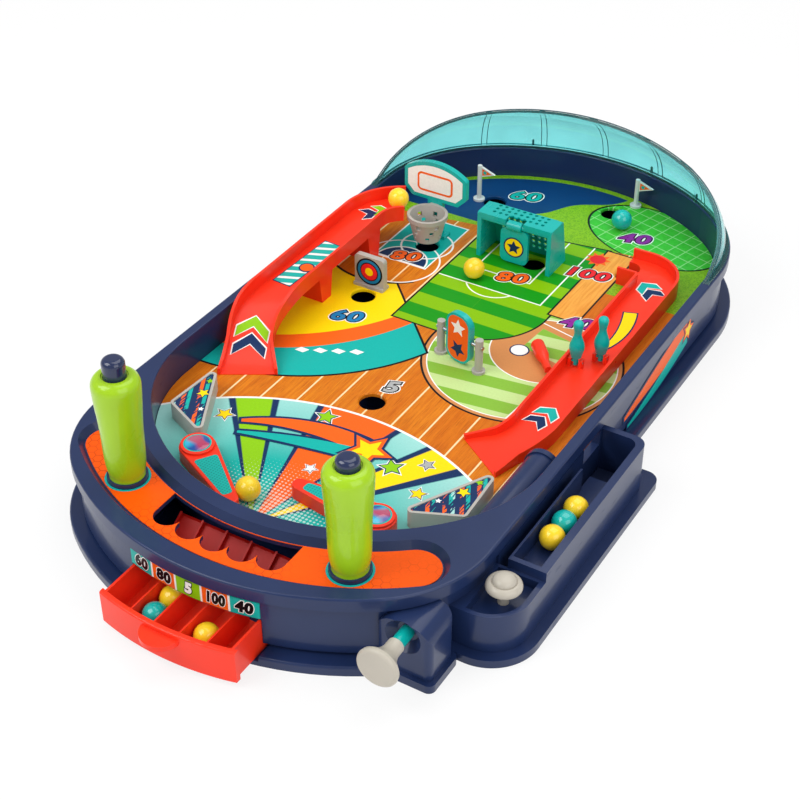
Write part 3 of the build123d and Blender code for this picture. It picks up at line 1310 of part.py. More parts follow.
# Clear dome over the back, cut off along a slope and standing on the rim
arc_y, sweep_back = corner_arc(half_width, back_bow, back_bow_y, back_corner, 1)
mid_rim = rim_width / 2
corner_x = half_width - back_corner
with BuildPart() as dome:
    with BuildSketch(dome_plane(0, back_bow_y, sweep_back)):
        dome_profile(back_bow - mid_rim, dome_wall, 0)
    revolve(axis=Axis((0, back_bow_y, 0), (0, 0, 1)), revolution_arc=180 - 2 * sweep_back)
    with BuildSketch(dome_plane(corner_x, arc_y, 0)):
        dome_profile(back_corner - mid_rim, dome_wall, 0)
    revolve(axis=Axis((corner_x, arc_y, 0), (0, 0, 1)), revolution_arc=sweep_back)
    with BuildSketch(dome_plane(-corner_x, arc_y, 180 - sweep_back)):
        dome_profile(back_corner - mid_rim, dome_wall, 0)
    revolve(axis=Axis((-corner_x, arc_y, 0), (0, 0, 1)), revolution_arc=sweep_back)
    for angle in rib_places:
        with BuildSketch(dome_plane(0, back_bow_y, angle)):
            dome_profile(back_bow - mid_rim, dome_wall / 2, rib_rise)
        revolve(axis=Axis((0, back_bow_y, 0), (0, 0, 1)), revolution_arc=rib_angle)
    tab_radius = back_bow - mid_rim - dome_wall - tab_thick / 2 + 0.3
    for angle in tab_places:
        at = (tab_radius * cos(radians(angle)), back_bow_y + tab_radius * sin(radians(angle)))
        with Locations(Location((*at, rim_height + tab_high / 2), (0, 0, angle))):
            Box(tab_thick, tab_width, tab_high)
    with BuildSketch(dome_plane(corner_x, arc_y, 0)):
        dome_profile(back_corner - mid_rim, dome_wall, 0)
    extrude(amount=arc_y - dome_start)
    with BuildSketch(dome_plane(-corner_x, arc_y, 180)):
        dome_profile(back_corner - mid_rim, dome_wall, 0)
    extrude(amount=dome_start - arc_y)
    with BuildSketch(Plane.XY.offset(rim_height)):
        outline_face(rim_shape, (dome_seat - rim_width) / 2)
        with BuildSketch(mode=Mode.PRIVATE) as inside:
            outline_face(rim_shape, -(dome_seat + rim_width) / 2)
        add(inside.sketch, mode=Mode.SUBTRACT)
        with Locations((0, dome_start + far / 2)):
            Rectangle(far, far, mode=Mode.INTERSECT)
    extrude(amount=dome_seat_thick)
    rise = dome_rise / (dome_lip - dome_start)
    slope_cut = Plane((0, dome_start, rim_height), x_dir=(1, 0, 0), z_dir=(0, -rise, 1))
    split(bisect_by=slope_cut, keep=Keep.BOTTOM)
save(dome, "dome")


def balls(places, name):
    """A set of balls of one colour, as one piece."""
    with BuildPart() as group:
        with Locations(places):
            Sphere(ball_radius)
    save(group, name)


# Balls where the picture has them
seat = ball_radius - 0.04
tray_x = trough_x + trough_width / 2
tray_ys = [-100.0 + i * (ball_width + 0.2) for i in (-1, 0, 1)]
tray_fall = (trough_back_floor - trough_front_floor) / (well_back_y - pocket_back - 3)
tray_balls = [(tray_x, y, trough_front_floor + tray_fall * (y - pocket_back - 3) + seat) for y in tray_ys]
ramp_angle = radians(left_ramp_end_angle - 8)
ramp_ball_x = left_ramp_x + left_ramp_end_turn * (1 - cos(ramp_angle))
ramp_ball_y = left_ramp_back + left_ramp_end_turn * sin(ramp_angle)
ramp_a = radians(left_ramp_heading)
ramp_along = (ramp_ball_x - left_ramp_start[0]) * cos(ramp_a)
ramp_along += (ramp_ball_y - left_ramp_start[1]) * sin(ramp_a)
ramp_ball = (ramp_ball_x, ramp_ball_y, left_ramp_high + 0.02 * (ramp_along - left_ramp_climb) + seat)
field_balls = [(x, y, board_top + seat) for x, y in loose_balls]
balls([tray_balls[0], tray_balls[2], ramp_ball, field_balls[0]], "yellow_balls")
balls([tray_balls[1], field_balls[1]], "teal_balls")
drawer_z = floor_z + seat
balls([(lane_middle(1), -238.3, drawer_z), (lane_middle(3), -251, drawer_z)], "drawer_yellow_balls")
balls([(lane_middle(1), -252.6, drawer_z)], "drawer_teal_ball")
rest = radians(flipper_rest)
along = 0.9 * flipper_reach
taper = (flipper_hub - flipper_tip) / flipper_reach
wide = (flipper_hub - taper * along) / sqrt(1 - taper**2) + ball_radius - 0.04
ball_x = play_x - pivot_x + along * cos(rest) - wide * sin(rest)
ball_y = pivot_y + along * sin(rest) + wide * cos(rest)
balls([(ball_x, ball_y, board_top + ball_radius + slide_gap)], "flipper_ball")

# Screws, driven up through the tub into the bosses
with BuildPart() as screws:
    with Locations([(x, y, floor_lift - screw_head_height) for x, y, _ in boss_places()]):
        Cylinder(screw_head / 2, screw_head_height, align=(Align.CENTER, Align.CENTER, Align.MIN))
    with Locations([(x, y, floor_lift) for x, y, _ in boss_places()]):
        Cylinder(screw_shank / 2, screw_length - 2, align=(Align.CENTER, Align.CENTER, Align.MIN))
save(screws, "screws")
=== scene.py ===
# %% [markdown]
# # A tabletop pinball game
# This lesson dresses the solids of a toy pinball table.
# The solids come packed as a frame: every piece already stands in its place, in metres.
# We give each piece a finish made of shader nodes, and add what is printed or stuck on it.

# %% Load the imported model
import bmesh
import bpy
import numpy as np
from mathutils import Matrix, Vector


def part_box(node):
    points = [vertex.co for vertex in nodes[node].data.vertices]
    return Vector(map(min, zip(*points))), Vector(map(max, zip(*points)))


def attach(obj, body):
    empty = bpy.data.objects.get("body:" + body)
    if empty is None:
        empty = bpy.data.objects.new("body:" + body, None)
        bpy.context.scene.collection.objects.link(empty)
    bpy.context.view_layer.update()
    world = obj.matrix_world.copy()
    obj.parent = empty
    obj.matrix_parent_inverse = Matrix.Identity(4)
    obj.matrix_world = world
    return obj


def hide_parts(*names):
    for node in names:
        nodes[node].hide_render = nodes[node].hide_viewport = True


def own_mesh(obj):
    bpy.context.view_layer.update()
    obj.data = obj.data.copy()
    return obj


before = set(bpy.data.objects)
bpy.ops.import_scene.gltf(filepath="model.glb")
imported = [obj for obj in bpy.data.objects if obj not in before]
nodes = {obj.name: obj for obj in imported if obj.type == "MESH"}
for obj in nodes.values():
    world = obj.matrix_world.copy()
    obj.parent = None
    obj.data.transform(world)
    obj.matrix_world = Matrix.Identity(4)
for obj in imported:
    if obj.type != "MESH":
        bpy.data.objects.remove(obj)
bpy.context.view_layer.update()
MM = 0.001
print("solids in the frame:", len(nodes))

# %% [markdown]
# ## The camera
# The picture was taken from the player's right, with a long lens.
# Its place was worked out from points whose size is known, such as the rim and the board.
# A camera matrix has the right, up and backward directions as its columns.

# %% Set the camera where the picture was taken
eye = Vector((0.38647, -0.67953, 0.57597))
look = Vector((-0.4136, 0.686, -0.5986)).normalized()
side = look.cross(Vector((0, 0, 1))).normalized()
above = side.cross(look)
camera = bpy.data.objects.new("camera", bpy.data.cameras.new("camera"))
FOCAL_PIXELS, PICTURE_PIXELS = 1574.03, 800
camera.data.sensor_width = 36.0
camera.data.lens = camera.data.sensor_width * FOCAL_PIXELS / PICTURE_PIXELS
camera.data.clip_start, camera.data.clip_end = 0.01, 20.0
camera.matrix_world = Matrix.Translation(eye) @ Matrix((side, above, -look)).transposed().to_4x4()
bpy.context.scene.collection.objects.link(camera)
bpy.context.scene.camera = camera
bpy.context.scene.view_settings.view_transform = "Standard"
print("lens in millimetres:", round(camera.data.lens, 1))

# %% [markdown]
# ## Colours
# A colour is written as on a paint chart, in six hexadecimal digits.
# Shaders count in linear light, so the chart value goes through the display curve first.


# %% Turn chart colours into shader colours
def ink(code):
    """Linear colour of a chart colour: v/12.92 near black, ((v+0.055)/1.055)^2.4 above."""
    v = np.array([int(code[i:i + 2], 16) for i in (0, 2, 4)]) / 255
    linear = np.where(v <= 0.04045, v / 12.92, ((v + 0.055) / 1.055) ** 2.4)
    return (*linear.tolist(), 1.0)


NAVY, TEAL, PALE_TEAL, BLUE = ink("14305C"), ink("12B0A6"), ink("A9DDD6"), ink("1F7FB5")
ORANGE, YELLOW, LIME, RED = ink("F7641A"), ink("FFDA0C"), ink("8CC814"), ink("E8202A")
WHITE, BLACK, GREY, PURPLE = ink("F6F6F2"), ink("0C0F14"), ink("A9ABAB"), ink("8E2A97")
GRASS, GRASS_DARK, MEADOW, MEADOW_DARK = ink("84BB04"), ink("189414"), ink("C3DE92"), ink("86B93E")
CLAY, LAKE, GREEN = ink("D08B52"), ink("0E3F72"), ink("46C23A")
SHORE, SHORE_DARK = ink("8DBE1E"), ink("5C9A1C")

# %% [markdown]
# ## Node helpers
# A print is drawn in layers, as in screen printing: each layer lays one ink where its mask is 1.
# Masks come from distances, so their edges stay sharp however near the camera is.
# One small class keeps the node tree, the place on the sheet and the colour so far.


# %% Draw layered prints with math nodes
class Sheet:
    """A printed sheet: at is the place in millimetres, colour the print so far."""

    def __init__(self, tree, at, colour, soft=0.22):
        self.tree, self.at, self.colour, self.soft = tree, at, colour, soft
        split = self.node("ShaderNodeSeparateXYZ", at)
        self.x, self.y, self.z = split.outputs

    def fill(self, socket, value):
        """Link another node's socket to an input, or give it a plain value."""
        if isinstance(value, bpy.types.NodeSocket):
            self.tree.links.new(value, socket)
        elif value is not None:
            socket.default_value = value

    def node(self, kind, *values, **settings):
        """A new node with its settings made and its first inputs linked or filled."""
        made = self.tree.nodes.new(kind)
        for key, value in settings.items():
            setattr(made, key, value)
        for socket, value in zip(made.inputs, values):
            self.fill(socket, value)
        return made

    def sum(self, operation, *values, clamp=False):
        """One Math node."""
        return self.node("ShaderNodeMath", *values, operation=operation, use_clamp=clamp).outputs[0]

    def vector(self, operation, *values, out="Vector"):
        """One Vector Math node: its vector, or its number where out is Value."""
        return self.node("ShaderNodeVectorMath", *values, operation=operation).outputs[out]

    def far(self, x, y):
        """Distance from a point of the sheet, in plan."""
        flat = self.vector("MULTIPLY", self.at, (1, 1, 0))
        return self.vector("DISTANCE", flat, (x, y, 0), out="Value")

    def dots(self, pitch):
        """Distance from the middle of the square cell that a place lies in."""
        cell = self.vector("ABSOLUTE", self.vector("MODULO", self.at, (pitch, pitch, 1)))
        flat = self.vector("MULTIPLY", cell, (1, 1, 0))
        return self.vector("DISTANCE", flat, (pitch / 2, pitch / 2, 0), out="Value")

    def along(self, degrees, x=0.0, y=0.0):
        """How far a place lies from (x, y) in the direction of an angle."""
        way = (np.cos(np.radians(degrees)), np.sin(np.radians(degrees)), 0.0)
        dot = self.vector("DOT_PRODUCT", self.at, way, out="Value")
        return self.sum("SUBTRACT", dot, float(way[0] * x + way[1] * y))

    def turn(self, x, y):
        """Angle about a point of the sheet, in degrees."""
        a = self.sum("ARCTAN2", self.sum("SUBTRACT", self.y, y), self.sum("SUBTRACT", self.x, x))
        return self.sum("MULTIPLY", a, float(np.degrees(1)))

    def under(self, value, limit, soft=None):
        """Mask where value is under limit, with an edge soft wide."""
        soft = soft or self.soft
        return self.sum("MULTIPLY_ADD", value, -1 / soft, 0.5 + limit / soft, clamp=True)

    def over(self, value, limit, soft=None):
        """Mask where value is over limit."""
        soft = soft or self.soft
        return self.sum("MULTIPLY_ADD", value, 1 / soft, 0.5 - limit / soft, clamp=True)

    def near(self, value, middle, width, soft=None):
        """Mask of a band: value within half its width of middle."""
        away = self.sum("ABSOLUTE", self.sum("SUBTRACT", value, middle))
        return self.under(away, width / 2, soft)

    def both(self, first, *others):
        """Mask where all the given masks are."""
        for other in others:
            first = self.sum("MULTIPLY", first, other)
        return first

    def either(self, first, *others):
        """Mask where any of the given masks is."""
        for other in others:
            first = self.sum("MAXIMUM", first, other)
        return first

    def but(self, first, other):
        """The first mask without the second."""
        return self.sum("MULTIPLY", first, self.sum("SUBTRACT", 1.0, other))

    def stripes(self, value, pitch):
        """Mask of every second stripe: the fraction of value/pitch is over one half."""
        part = self.sum("PINGPONG", value, pitch)
        return self.over(part, pitch / 2)

    def noise(self, scale, detail=2.0, stretch=(1, 1, 1)):
        """Soft noise from 0 to 1, scale in cells per millimetre."""
        made = self.node("ShaderNodeTexNoise", self.vector("MULTIPLY", self.at, stretch))
        made.inputs["Scale"].default_value = scale
        made.inputs["Detail"].default_value = detail
        return made.outputs["Fac"]

    def lay(self, mask, colour):
        """Lay one ink, or another socket's colour, where the mask is 1."""
        mix = self.tree.nodes.new("ShaderNodeMix")
        mix.data_type = "RGBA"
        sockets = [s for s in mix.inputs if s.type == "RGBA"]
        for socket, value in zip((mix.inputs[0], *sockets), (mask, self.colour, colour)):
            self.fill(socket, value)
        self.colour = [s for s in mix.outputs if s.type == "RGBA"][0]
        return self.colour


print("helpers ready:", [n for n in dir(Sheet) if not n.startswith("_")])

# %% [markdown]
# ## Two effects that many finishes share
# Moulded plastic is never quite even: it has flow clouds, a fine grain and a few dull scuffs.
# Printed ink has a faint mottle and the sheet's own small waves.
# Both are node groups, built once and placed in each material with its own values.


# %% Build the moulded plastic and printed ink groups
def in_millimetres(tree, place):
    """A place that is given in metres, divided by the length of a millimetre."""
    scale = tree.nodes.new("ShaderNodeVectorMath")
    scale.operation = "SCALE"
    scale.inputs["Scale"].default_value = 1 / MM
    tree.links.new(place, scale.inputs[0])
    return scale.outputs[0]


def effect(name, *inputs):
    """An empty group with a Vector and a Color input, and Color, Roughness and Normal outputs."""
    tree = bpy.data.node_groups.new(name, "ShaderNodeTree")
    for word, kind in (("Vector", "Vector"), ("Color", "Color"), *((word, "Float") for word in inputs)):
        tree.interface.new_socket(word, in_out="INPUT", socket_type=f"NodeSocket{kind}")
    for word, kind in (("Color", "Color"), ("Roughness", "Float"), ("Normal", "Vector")):
        tree.interface.new_socket(word, in_out="OUTPUT", socket_type=f"NodeSocket{kind}")
    start, end = tree.nodes.new("NodeGroupInput"), tree.nodes.new("NodeGroupOutput")
    place = in_millimetres(tree, start.outputs["Vector"])
    return tree, start, end, Sheet(tree, place, start.outputs["Color"])


def bumped(sheet, height, strength, depth):
    """Normal from a height that changes over the surface, depth in metres."""
    bump = sheet.node("ShaderNodeBump", strength)
    bump.inputs["Distance"].default_value = depth
    sheet.tree.links.new(height, bump.inputs["Height"])
    return bump.outputs["Normal"]


def shade(sheet, value, low, high):
    """Colour so far, multiplied by low to high as value goes from 0 to 1."""
    scale = sheet.node("ShaderNodeMapRange", value, 0.3, 0.7, low, high).outputs[0]
    sheet.colour = sheet.vector("SCALE", sheet.colour, None, None, scale)


moulded, start, end, s = effect("moulded_plastic", "Roughness", "Grain")
clouds = s.noise(0.035, 3.0)
shade(s, clouds, 0.94, 1.05)
fine = s.noise(1.6, 3.0)
scuffs = s.over(s.noise(0.5, 4.0, (1, 0.16, 0.5)), 0.66, 0.1)
rough = s.sum("MULTIPLY_ADD", s.sum("SUBTRACT", clouds, 0.5), 0.10, start.outputs["Roughness"])
rough = s.sum("MULTIPLY_ADD", scuffs, 0.10, rough, clamp=True)
moulded.links.new(s.colour, end.inputs["Color"])
moulded.links.new(rough, end.inputs["Roughness"])
height = s.sum("MULTIPLY", fine, start.outputs["Grain"])
moulded.links.new(bumped(s, height, 0.25, 0.0002), end.inputs["Normal"])

printed, start, end, s = effect("printed_ink", "Roughness")
mottle = s.noise(0.8, 4.0)
shade(s, mottle, 0.96, 1.03)
rough = s.sum("MULTIPLY_ADD", s.sum("SUBTRACT", mottle, 0.5), 0.12, start.outputs["Roughness"], clamp=True)
printed.links.new(s.colour, end.inputs["Color"])
printed.links.new(rough, end.inputs["Roughness"])
printed.links.new(bumped(s, s.noise(0.06, 2.0), 0.2, 0.0006), end.inputs["Normal"])
print("effects:", moulded.name, printed.name)


# %% Make a material around one of the effects
PRINT_SHINE, PLASTIC_SHINE, COAT_ROUGHNESS = 0.12, 0.25, 0.06


def finish(name, group, colour, roughness=0.3, grain=0.3, coat=0.0, draw=None, **more):
    """Principled material: object place, then the drawn print if any, then the effect."""
    material = bpy.data.materials.new(name)
    material.use_nodes = True
    tree = material.node_tree
    shader = tree.nodes["Principled BSDF"]
    place = tree.nodes.new("ShaderNodeTexCoord").outputs["Object"]
    effect_node = tree.nodes.new("ShaderNodeGroup")
    effect_node.node_tree = group
    tree.links.new(place, effect_node.inputs["Vector"])
    effect_node.inputs["Color"].default_value = colour
    effect_node.inputs["Roughness"].default_value = roughness
    if "Grain" in effect_node.inputs:
        effect_node.inputs["Grain"].default_value = grain
    if draw:
        sheet = Sheet(tree, in_millimetres(tree, place), colour)
        draw(sheet)
        tree.links.new(sheet.colour, effect_node.inputs["Color"])
    for word, socket in (("Color", "Base Color"), ("Roughness", "Roughness"), ("Normal", "Normal")):
        tree.links.new(effect_node.outputs[word], shader.inputs[socket])
    shader.inputs["Specular IOR Level"].default_value = PRINT_SHINE if group is printed else PLASTIC_SHINE
    shader.inputs["Coat Weight"].default_value = coat
    shader.inputs["Coat Roughness"].default_value = COAT_ROUGHNESS
    for key, value in more.items():
        shader.inputs[key.replace("_", " ")].default_value = value
    return material


# %% [markdown]
# ## Plastics
# The body is glossy navy, the grips lime, the drawer, ramps and flippers a hot red.
# Polished moulds leave a hard gloss, so these finishes have a clear coat over the moulded effect.
# The balls are the glossiest, with a strong coat. The lanes and hood under the deck take a darker copy of the
# red, as painted shade for the dim window they sit in.

# %% Mix the plain plastics
navy = finish("navy_plastic", moulded, ink("1F2F57"), 0.3, 0.1, 0.26)
navy_button = finish("navy_button", moulded, ink("1B284E"), 0.18, 0.1, 0.8)
inner = finish("inner_plastic", moulded, ink("182342"), 0.5, 0.6)
lime = finish("lime_plastic", moulded, ink("A0CC18"), 0.28, 0.3, 0.45)
red = finish("red_plastic", moulded, ink("F5351A"), 0.32, 0.2, 0.12)
# A darker copy of the drawer's red: painted shade for the lanes and hood deep inside the deck window.
shaded_red = finish("shaded_red", moulded, ink("B0120A"), 0.5, 0.3)
teal = finish("teal_plastic", moulded, ink("08AFA8"), 0.28, 0.2, 0.25)
beige = finish("beige_plastic", moulded, ink("BDB6A9"), 0.34, 0.5, 0.25)
grey = finish("grey_plastic", moulded, ink("B3AFA8"), 0.4, 0.5, 0.1)
white = finish("white_plastic", moulded, ink("DADBDA"), 0.32, 0.3, 0.2)
yellow_ball = finish("yellow_ball", moulded, ink("FFD62A"), 0.2, 0.1, 0.6)
teal_ball = finish("teal_ball", moulded, ink("10B4AC"), 0.2, 0.1, 0.8)
steel = finish("spring_steel", moulded, ink("B9BCC0"), 0.3, 0.4, Metallic=1.0)
dark_steel = finish("screw_steel", moulded, ink("6F7276"), 0.4, 0.6, Metallic=1.0)
clear = finish("clear_cyan", moulded, ink("8CE9EB"), 0.05, 0.1, 0.3, Transmission_Weight=0.92, IOR=1.22)
print("plastics:", len(bpy.data.materials))

# %% [markdown]
# ## The deck sheet
# A printed sheet lies in the trough of the deck: hot orange with a faint honeycomb.
# A honeycomb is two shifted grids of cells; a place belongs to the nearer cell's middle.
# The line shows only in patches, as on the real sheet, so a slow noise fades it in and out.


# %% Draw the honeycomb
def honeycomb(s, size):
    """Distance from the middle of a hexagon, 0.5 at its edge, for cells size wide."""
    cell = (size, size * 3**0.5, 1.0)
    half = (size / 2, size * 3**0.5 / 2, 0.5)
    far_away = (1000 * size, 1000 * cell[1], 1000.0)
    place = s.vector("ADD", s.vector("MULTIPLY", s.at, (1, 1, 0)), far_away)
    found = []
    for shift in ((0, 0, 0), half):
        part = s.vector("MODULO", s.vector("ADD", place, shift), cell)
        part = s.vector("MULTIPLY", s.vector("SUBTRACT", part, half), (1, 1, 0))
        part = s.vector("ABSOLUTE", part)
        lean = s.vector("DOT_PRODUCT", part, (0.5, 0.75**0.5, 0), out="Value")
        across = s.vector("DOT_PRODUCT", part, (1, 0, 0), out="Value")
        found.append(s.sum("MAXIMUM", lean, across))
    return s.sum("DIVIDE", s.sum("MINIMUM", *found), size)


def draw_deck(s):
    """Orange sheet with patches of a darker honeycomb line."""
    line = s.over(honeycomb(s, 5.2), 0.455, 0.05)
    patch = s.over(s.noise(0.035, 1.0), 0.5, 0.2)
    s.lay(s.sum("MULTIPLY", s.both(line, patch), 0.75), ink("C23A08"))


deck_print = finish("overlay_print", printed, ink("FA5A06"), 0.36, coat=0.05, draw=draw_deck)

# %% [markdown]
# ## The score strip
# Five cells show what each lane of the drawer is worth, in teal, orange and lime.
# The strip is a solid of the frame, so its cells are masks on the place along X.


# %% Draw the cells of the score strip
def draw_strip(s):
    """Cells 16 mm wide: teal at the ends, lime in the middle, white lines between."""
    s.lay(s.under(s.sum("ABSOLUTE", s.x), 24.0), ORANGE)
    s.lay(s.under(s.sum("ABSOLUTE", s.x), 8.0), LIME)
    line = s.near(s.sum("PINGPONG", s.sum("ADD", s.x, 8.0), 8.0), 0.0, 1.2)
    s.lay(s.both(line, s.under(s.sum("ABSOLUTE", s.x), 30.0)), WHITE)


label_print = finish("label_print", printed, TEAL, 0.3, coat=0.08, draw=draw_strip)

# %% [markdown]
# ## The playfield print
# The board shows several sports grounds on a floor of planks.
# Grounds have traditional marks: mown stripes, a key and its circle, a clay diamond, a putting green.
# Everything is drawn on the board's own solid, so that its scoring holes stay open.


# %% Draw the planks
def draw_planks(s):
    """Planks 20 mm wide along Y: each has its own tone, a stretched grain and a pale joint."""
    row = s.sum("FLOOR", s.sum("DIVIDE", s.sum("ADD", s.x, 6.0), 20.0))
    tone = s.node("ShaderNodeTexWhiteNoise", None, row, noise_dimensions="1D").outputs["Value"]
    grain = s.noise(0.5, 5.0, (1, 0.09, 1))
    veins = s.noise(1.8, 3.0, (1, 0.04, 1))
    s.lay(s.sum("MULTIPLY", tone, 0.7), ink("D06C12"))
    s.lay(s.sum("MULTIPLY", s.over(grain, 0.5, 0.3), 0.55), ink("BE580C"))
    s.lay(s.sum("MULTIPLY", s.over(veins, 0.6, 0.12), 0.45), ink("944008"))
    joint = s.sum("PINGPONG", s.sum("ADD", s.x, 6.0), 10.0)
    s.lay(s.near(joint, 0.0, 1.1), ink("F8DCA8"))


# %% Draw the burst in front of the flippers
def draw_burst(s):
    """Rays about a point by the drain, inside an arc; teal ones fade to pale, and dots lie by the drain."""
    rim = s.far(3, -224)
    inside = s.under(rim, 152)
    angle, out = s.turn(-6, -182), s.far(-6, -182)
    fade = s.over(out, 88, 70)
    s.lay(inside, NAVY)
    rays = ((25, 50, TEAL), (58.4, 10.2, YELLOW), (70.4, 9.6, TEAL), (89.7, 24.6, ORANGE),
            (110.3, 12.2, TEAL), (124.2, 11.2, LIME), (158, 52, TEAL))
    for middle, width, colour in rays:
        ray = s.both(inside, s.near(angle, middle, width, 0.5))
        s.lay(ray, colour)
        if colour == TEAL:
            s.lay(s.both(ray, fade), PALE_TEAL)
    size = s.node("ShaderNodeMapRange", out, 24.0, 58.0, 0.95, 0.0).outputs[0]
    dot = s.under(s.sum("SUBTRACT", s.dots(2.4), size), 0.0)
    s.lay(s.sum("MULTIPLY", s.both(inside, dot), 0.55), ink("E9F3EA"))
    s.lay(s.near(rim, 152, 1.6), WHITE)


# %% Draw the yellow bay with its two bands, and the court behind it
def draw_bay(s):
    """Bands about points left of the wall: teal, orange and yellow, with a black edge."""
    apron = s.far(-85.8, 98.6)
    end = s.along(44.3, -6, 1.8)
    beyond = s.both(s.over(apron, 46.1), s.under(s.y, 62))
    part = s.both(beyond, s.under(end, 0.0))
    s.lay(s.both(s.under(s.far(-123.4, 52.9), 130.0), s.under(end, 1.5), beyond), BLACK)
    for x, y, radius, colour in ((-123.4, 52.9, 128.4, TEAL), (-151.7, 73.2, 131.5, ORANGE),
                                 (-161.2, 86.3, 133.5, YELLOW)):
        s.lay(s.both(s.under(s.far(x, y), radius), part), colour)
    s.lay(s.both(s.near(apron, 46.1, 1.8), s.under(s.y, 66), s.under(s.x, -50)), BLACK)


def draw_court(s):
    """A teal key with white lines, a navy half-disc and a circle under the basket."""
    side = s.sum("ABSOLUTE", s.sum("ADD", s.x, 74.0))
    key = s.both(s.under(side, 19.0), s.over(s.y, 84), s.under(s.y, 142))
    s.lay(s.both(s.under(side, 20.0), s.over(s.y, 83), s.under(s.y, 143)), WHITE)
    s.lay(key, TEAL)
    ring = s.far(-74, 84)
    s.lay(s.near(ring, 26.5, 1.2), WHITE)
    s.lay(s.both(s.under(ring, 18.6), s.over(s.y, 84)), WHITE)
    s.lay(s.both(s.under(ring, 17.4), s.over(s.y, 85.2)), NAVY)
    s.lay(s.near(s.far(-68.5, 110.5), 17.5, 1.3), WHITE)


# %% Draw the diamond, the pitch and the lane
SHORE_LINE = (99.4, 0, 160)


def draw_diamond(s):
    """A mown outfield in a clay ring, with a clay infield, its grass and two white foul lines."""
    out = s.far(49, 23)
    s.lay(s.under(out, 61.7), BLACK)
    s.lay(s.under(out, 60.3), CLAY)
    s.lay(s.near(out, 57.6, 0.8), WHITE)
    field = s.under(out, 57.2)
    s.lay(field, MEADOW)
    s.lay(s.both(field, s.stripes(s.along(98), 10.5)), MEADOW_DARK)
    infield = s.far(55.5, 40.3)
    s.lay(s.both(field, s.under(infield, 34.1)), WHITE)
    s.lay(s.both(field, s.under(infield, 33.3)), CLAY)
    down, left = s.along(258, 75, 60), s.along(175, 75, 60)
    grass = s.both(s.near(down, 17, 24), s.near(left, 18, 26))
    s.lay(grass, MEADOW)
    s.lay(s.both(grass, s.stripes(s.along(98), 10.5)), MEADOW_DARK)
    for line, ahead in ((s.near(left, 0.0, 0.9), down), (s.near(down, 0.0, 0.9), left)):
        s.lay(s.both(line, s.under(out, 58), s.over(ahead, 0.0)), WHITE)


def draw_pitch(s):
    """Mown stripes with white box lines, inside an edge with one round corner."""
    def edge(grow):
        corner = s.both(s.over(s.x, -5.6), s.under(s.y, 72))
        round_part = s.under(s.far(-5.6, 72), 46 + grow)
        square = s.both(s.under(s.x, 40.4 + grow), s.over(s.y, 26 - grow), s.over(s.x, -44 - grow))
        inside = s.sum("MAXIMUM", s.both(corner, round_part), s.but(square, corner))
        return s.both(inside, s.under(s.along(*SHORE_LINE), grow))
    s.lay(edge(1.3), BLACK)
    field = edge(0.0)
    s.lay(field, GRASS)
    s.lay(s.both(field, s.stripes(s.y, 13.0)), GRASS_DARK)
    wide = s.sum("ABSOLUTE", s.sum("ADD", s.x, 7.3))
    for half, front in ((37.5, 84), (20.0, 103)):
        sides = s.both(s.near(wide, half, 1.0), s.over(s.y, front - 0.5))
        bar = s.both(s.near(s.y, front, 1.0), s.under(wide, half + 0.5))
        s.lay(s.both(field, s.either(sides, bar)), WHITE)
    s.lay(s.both(field, s.near(s.far(-7.3, 94), 19.0, 1.0), s.under(s.y, 84)), WHITE)


def draw_lane(s):
    """A plain lane of the floor's planks beside the pitch, edged in black."""
    lane = s.both(s.near(s.x, 49, 19.0), s.near(s.y, 122, 88.0))
    s.lay(s.both(s.near(s.x, 49, 21.6), s.near(s.y, 122, 90.4)), BLACK)
    s.lay(lane, ink("F0A94A"))
    grain = s.over(s.noise(0.6, 4.0, (1, 0.08, 1)), 0.52, 0.25)
    s.lay(s.sum("MULTIPLY", s.both(lane, grain), 0.6), ink("DB8429"))


# %% Draw the lake, its shore and the putting green
def draw_back(s):
    """Speckled shore across the back, with a navy lake and an oval green with a pale grid."""
    back = s.either(s.over(s.along(*SHORE_LINE), 0), s.both(s.over(s.x, 60), s.over(s.y, 118)))
    s.lay(back, SHORE)
    s.lay(s.sum("MULTIPLY", s.both(back, s.over(s.noise(1.1, 3.0), 0.53, 0.1)), 0.7), SHORE_DARK)
    wave = s.sum("MULTIPLY", s.sum("SINE", s.sum("MULTIPLY", s.along(45), 0.12)), 2.5)
    bank = s.over(s.sum("ADD", s.along(135, 0, 213.5), wave), 0)
    water = s.both(s.under(s.far(0, 105), 132.4), bank, s.over(s.y, 155.5))
    s.lay(s.both(back, water), LAKE)
    long, short = s.along(-15, 58, 199), s.along(75, 58, 199)
    oval = s.sum("SQRT", s.sum("ADD", s.sum("POWER", s.sum("DIVIDE", long, 50.0), 2.0),
                               s.sum("POWER", s.sum("DIVIDE", short, 32.0), 2.0)))
    s.lay(s.both(back, s.under(oval, 1.035, 0.01)), BLACK)
    green = s.both(back, s.under(oval, 1.0, 0.01))
    s.lay(green, GREEN)
    s.lay(s.sum("MULTIPLY", s.both(green, s.over(s.noise(0.5, 2.0), 0.55, 0.2)), 0.5), ink("35AE2C"))
    lines = [s.near(s.sum("PINGPONG", way, 4.5), 0.0, 0.7) for way in (long, short)]
    s.lay(s.sum("MULTIPLY", s.both(green, s.either(*lines)), 0.5), ink("C9F0B4"))


def draw_field(s):
    """All the grounds, from the floor up."""
    for ground in (draw_planks, draw_burst, draw_diamond, draw_bay,
                   draw_back, draw_pitch, draw_lane, draw_court):
        ground(s)


field_print = finish("board_print", printed, ink("DC821C"), 0.34, coat=0.05, draw=draw_field)
print("nodes in the field print:", len(field_print.node_tree.nodes))

# %% [markdown]
# ## Dress the solids
# Each solid takes one finish. The list goes by finish, so that nothing is forgotten.

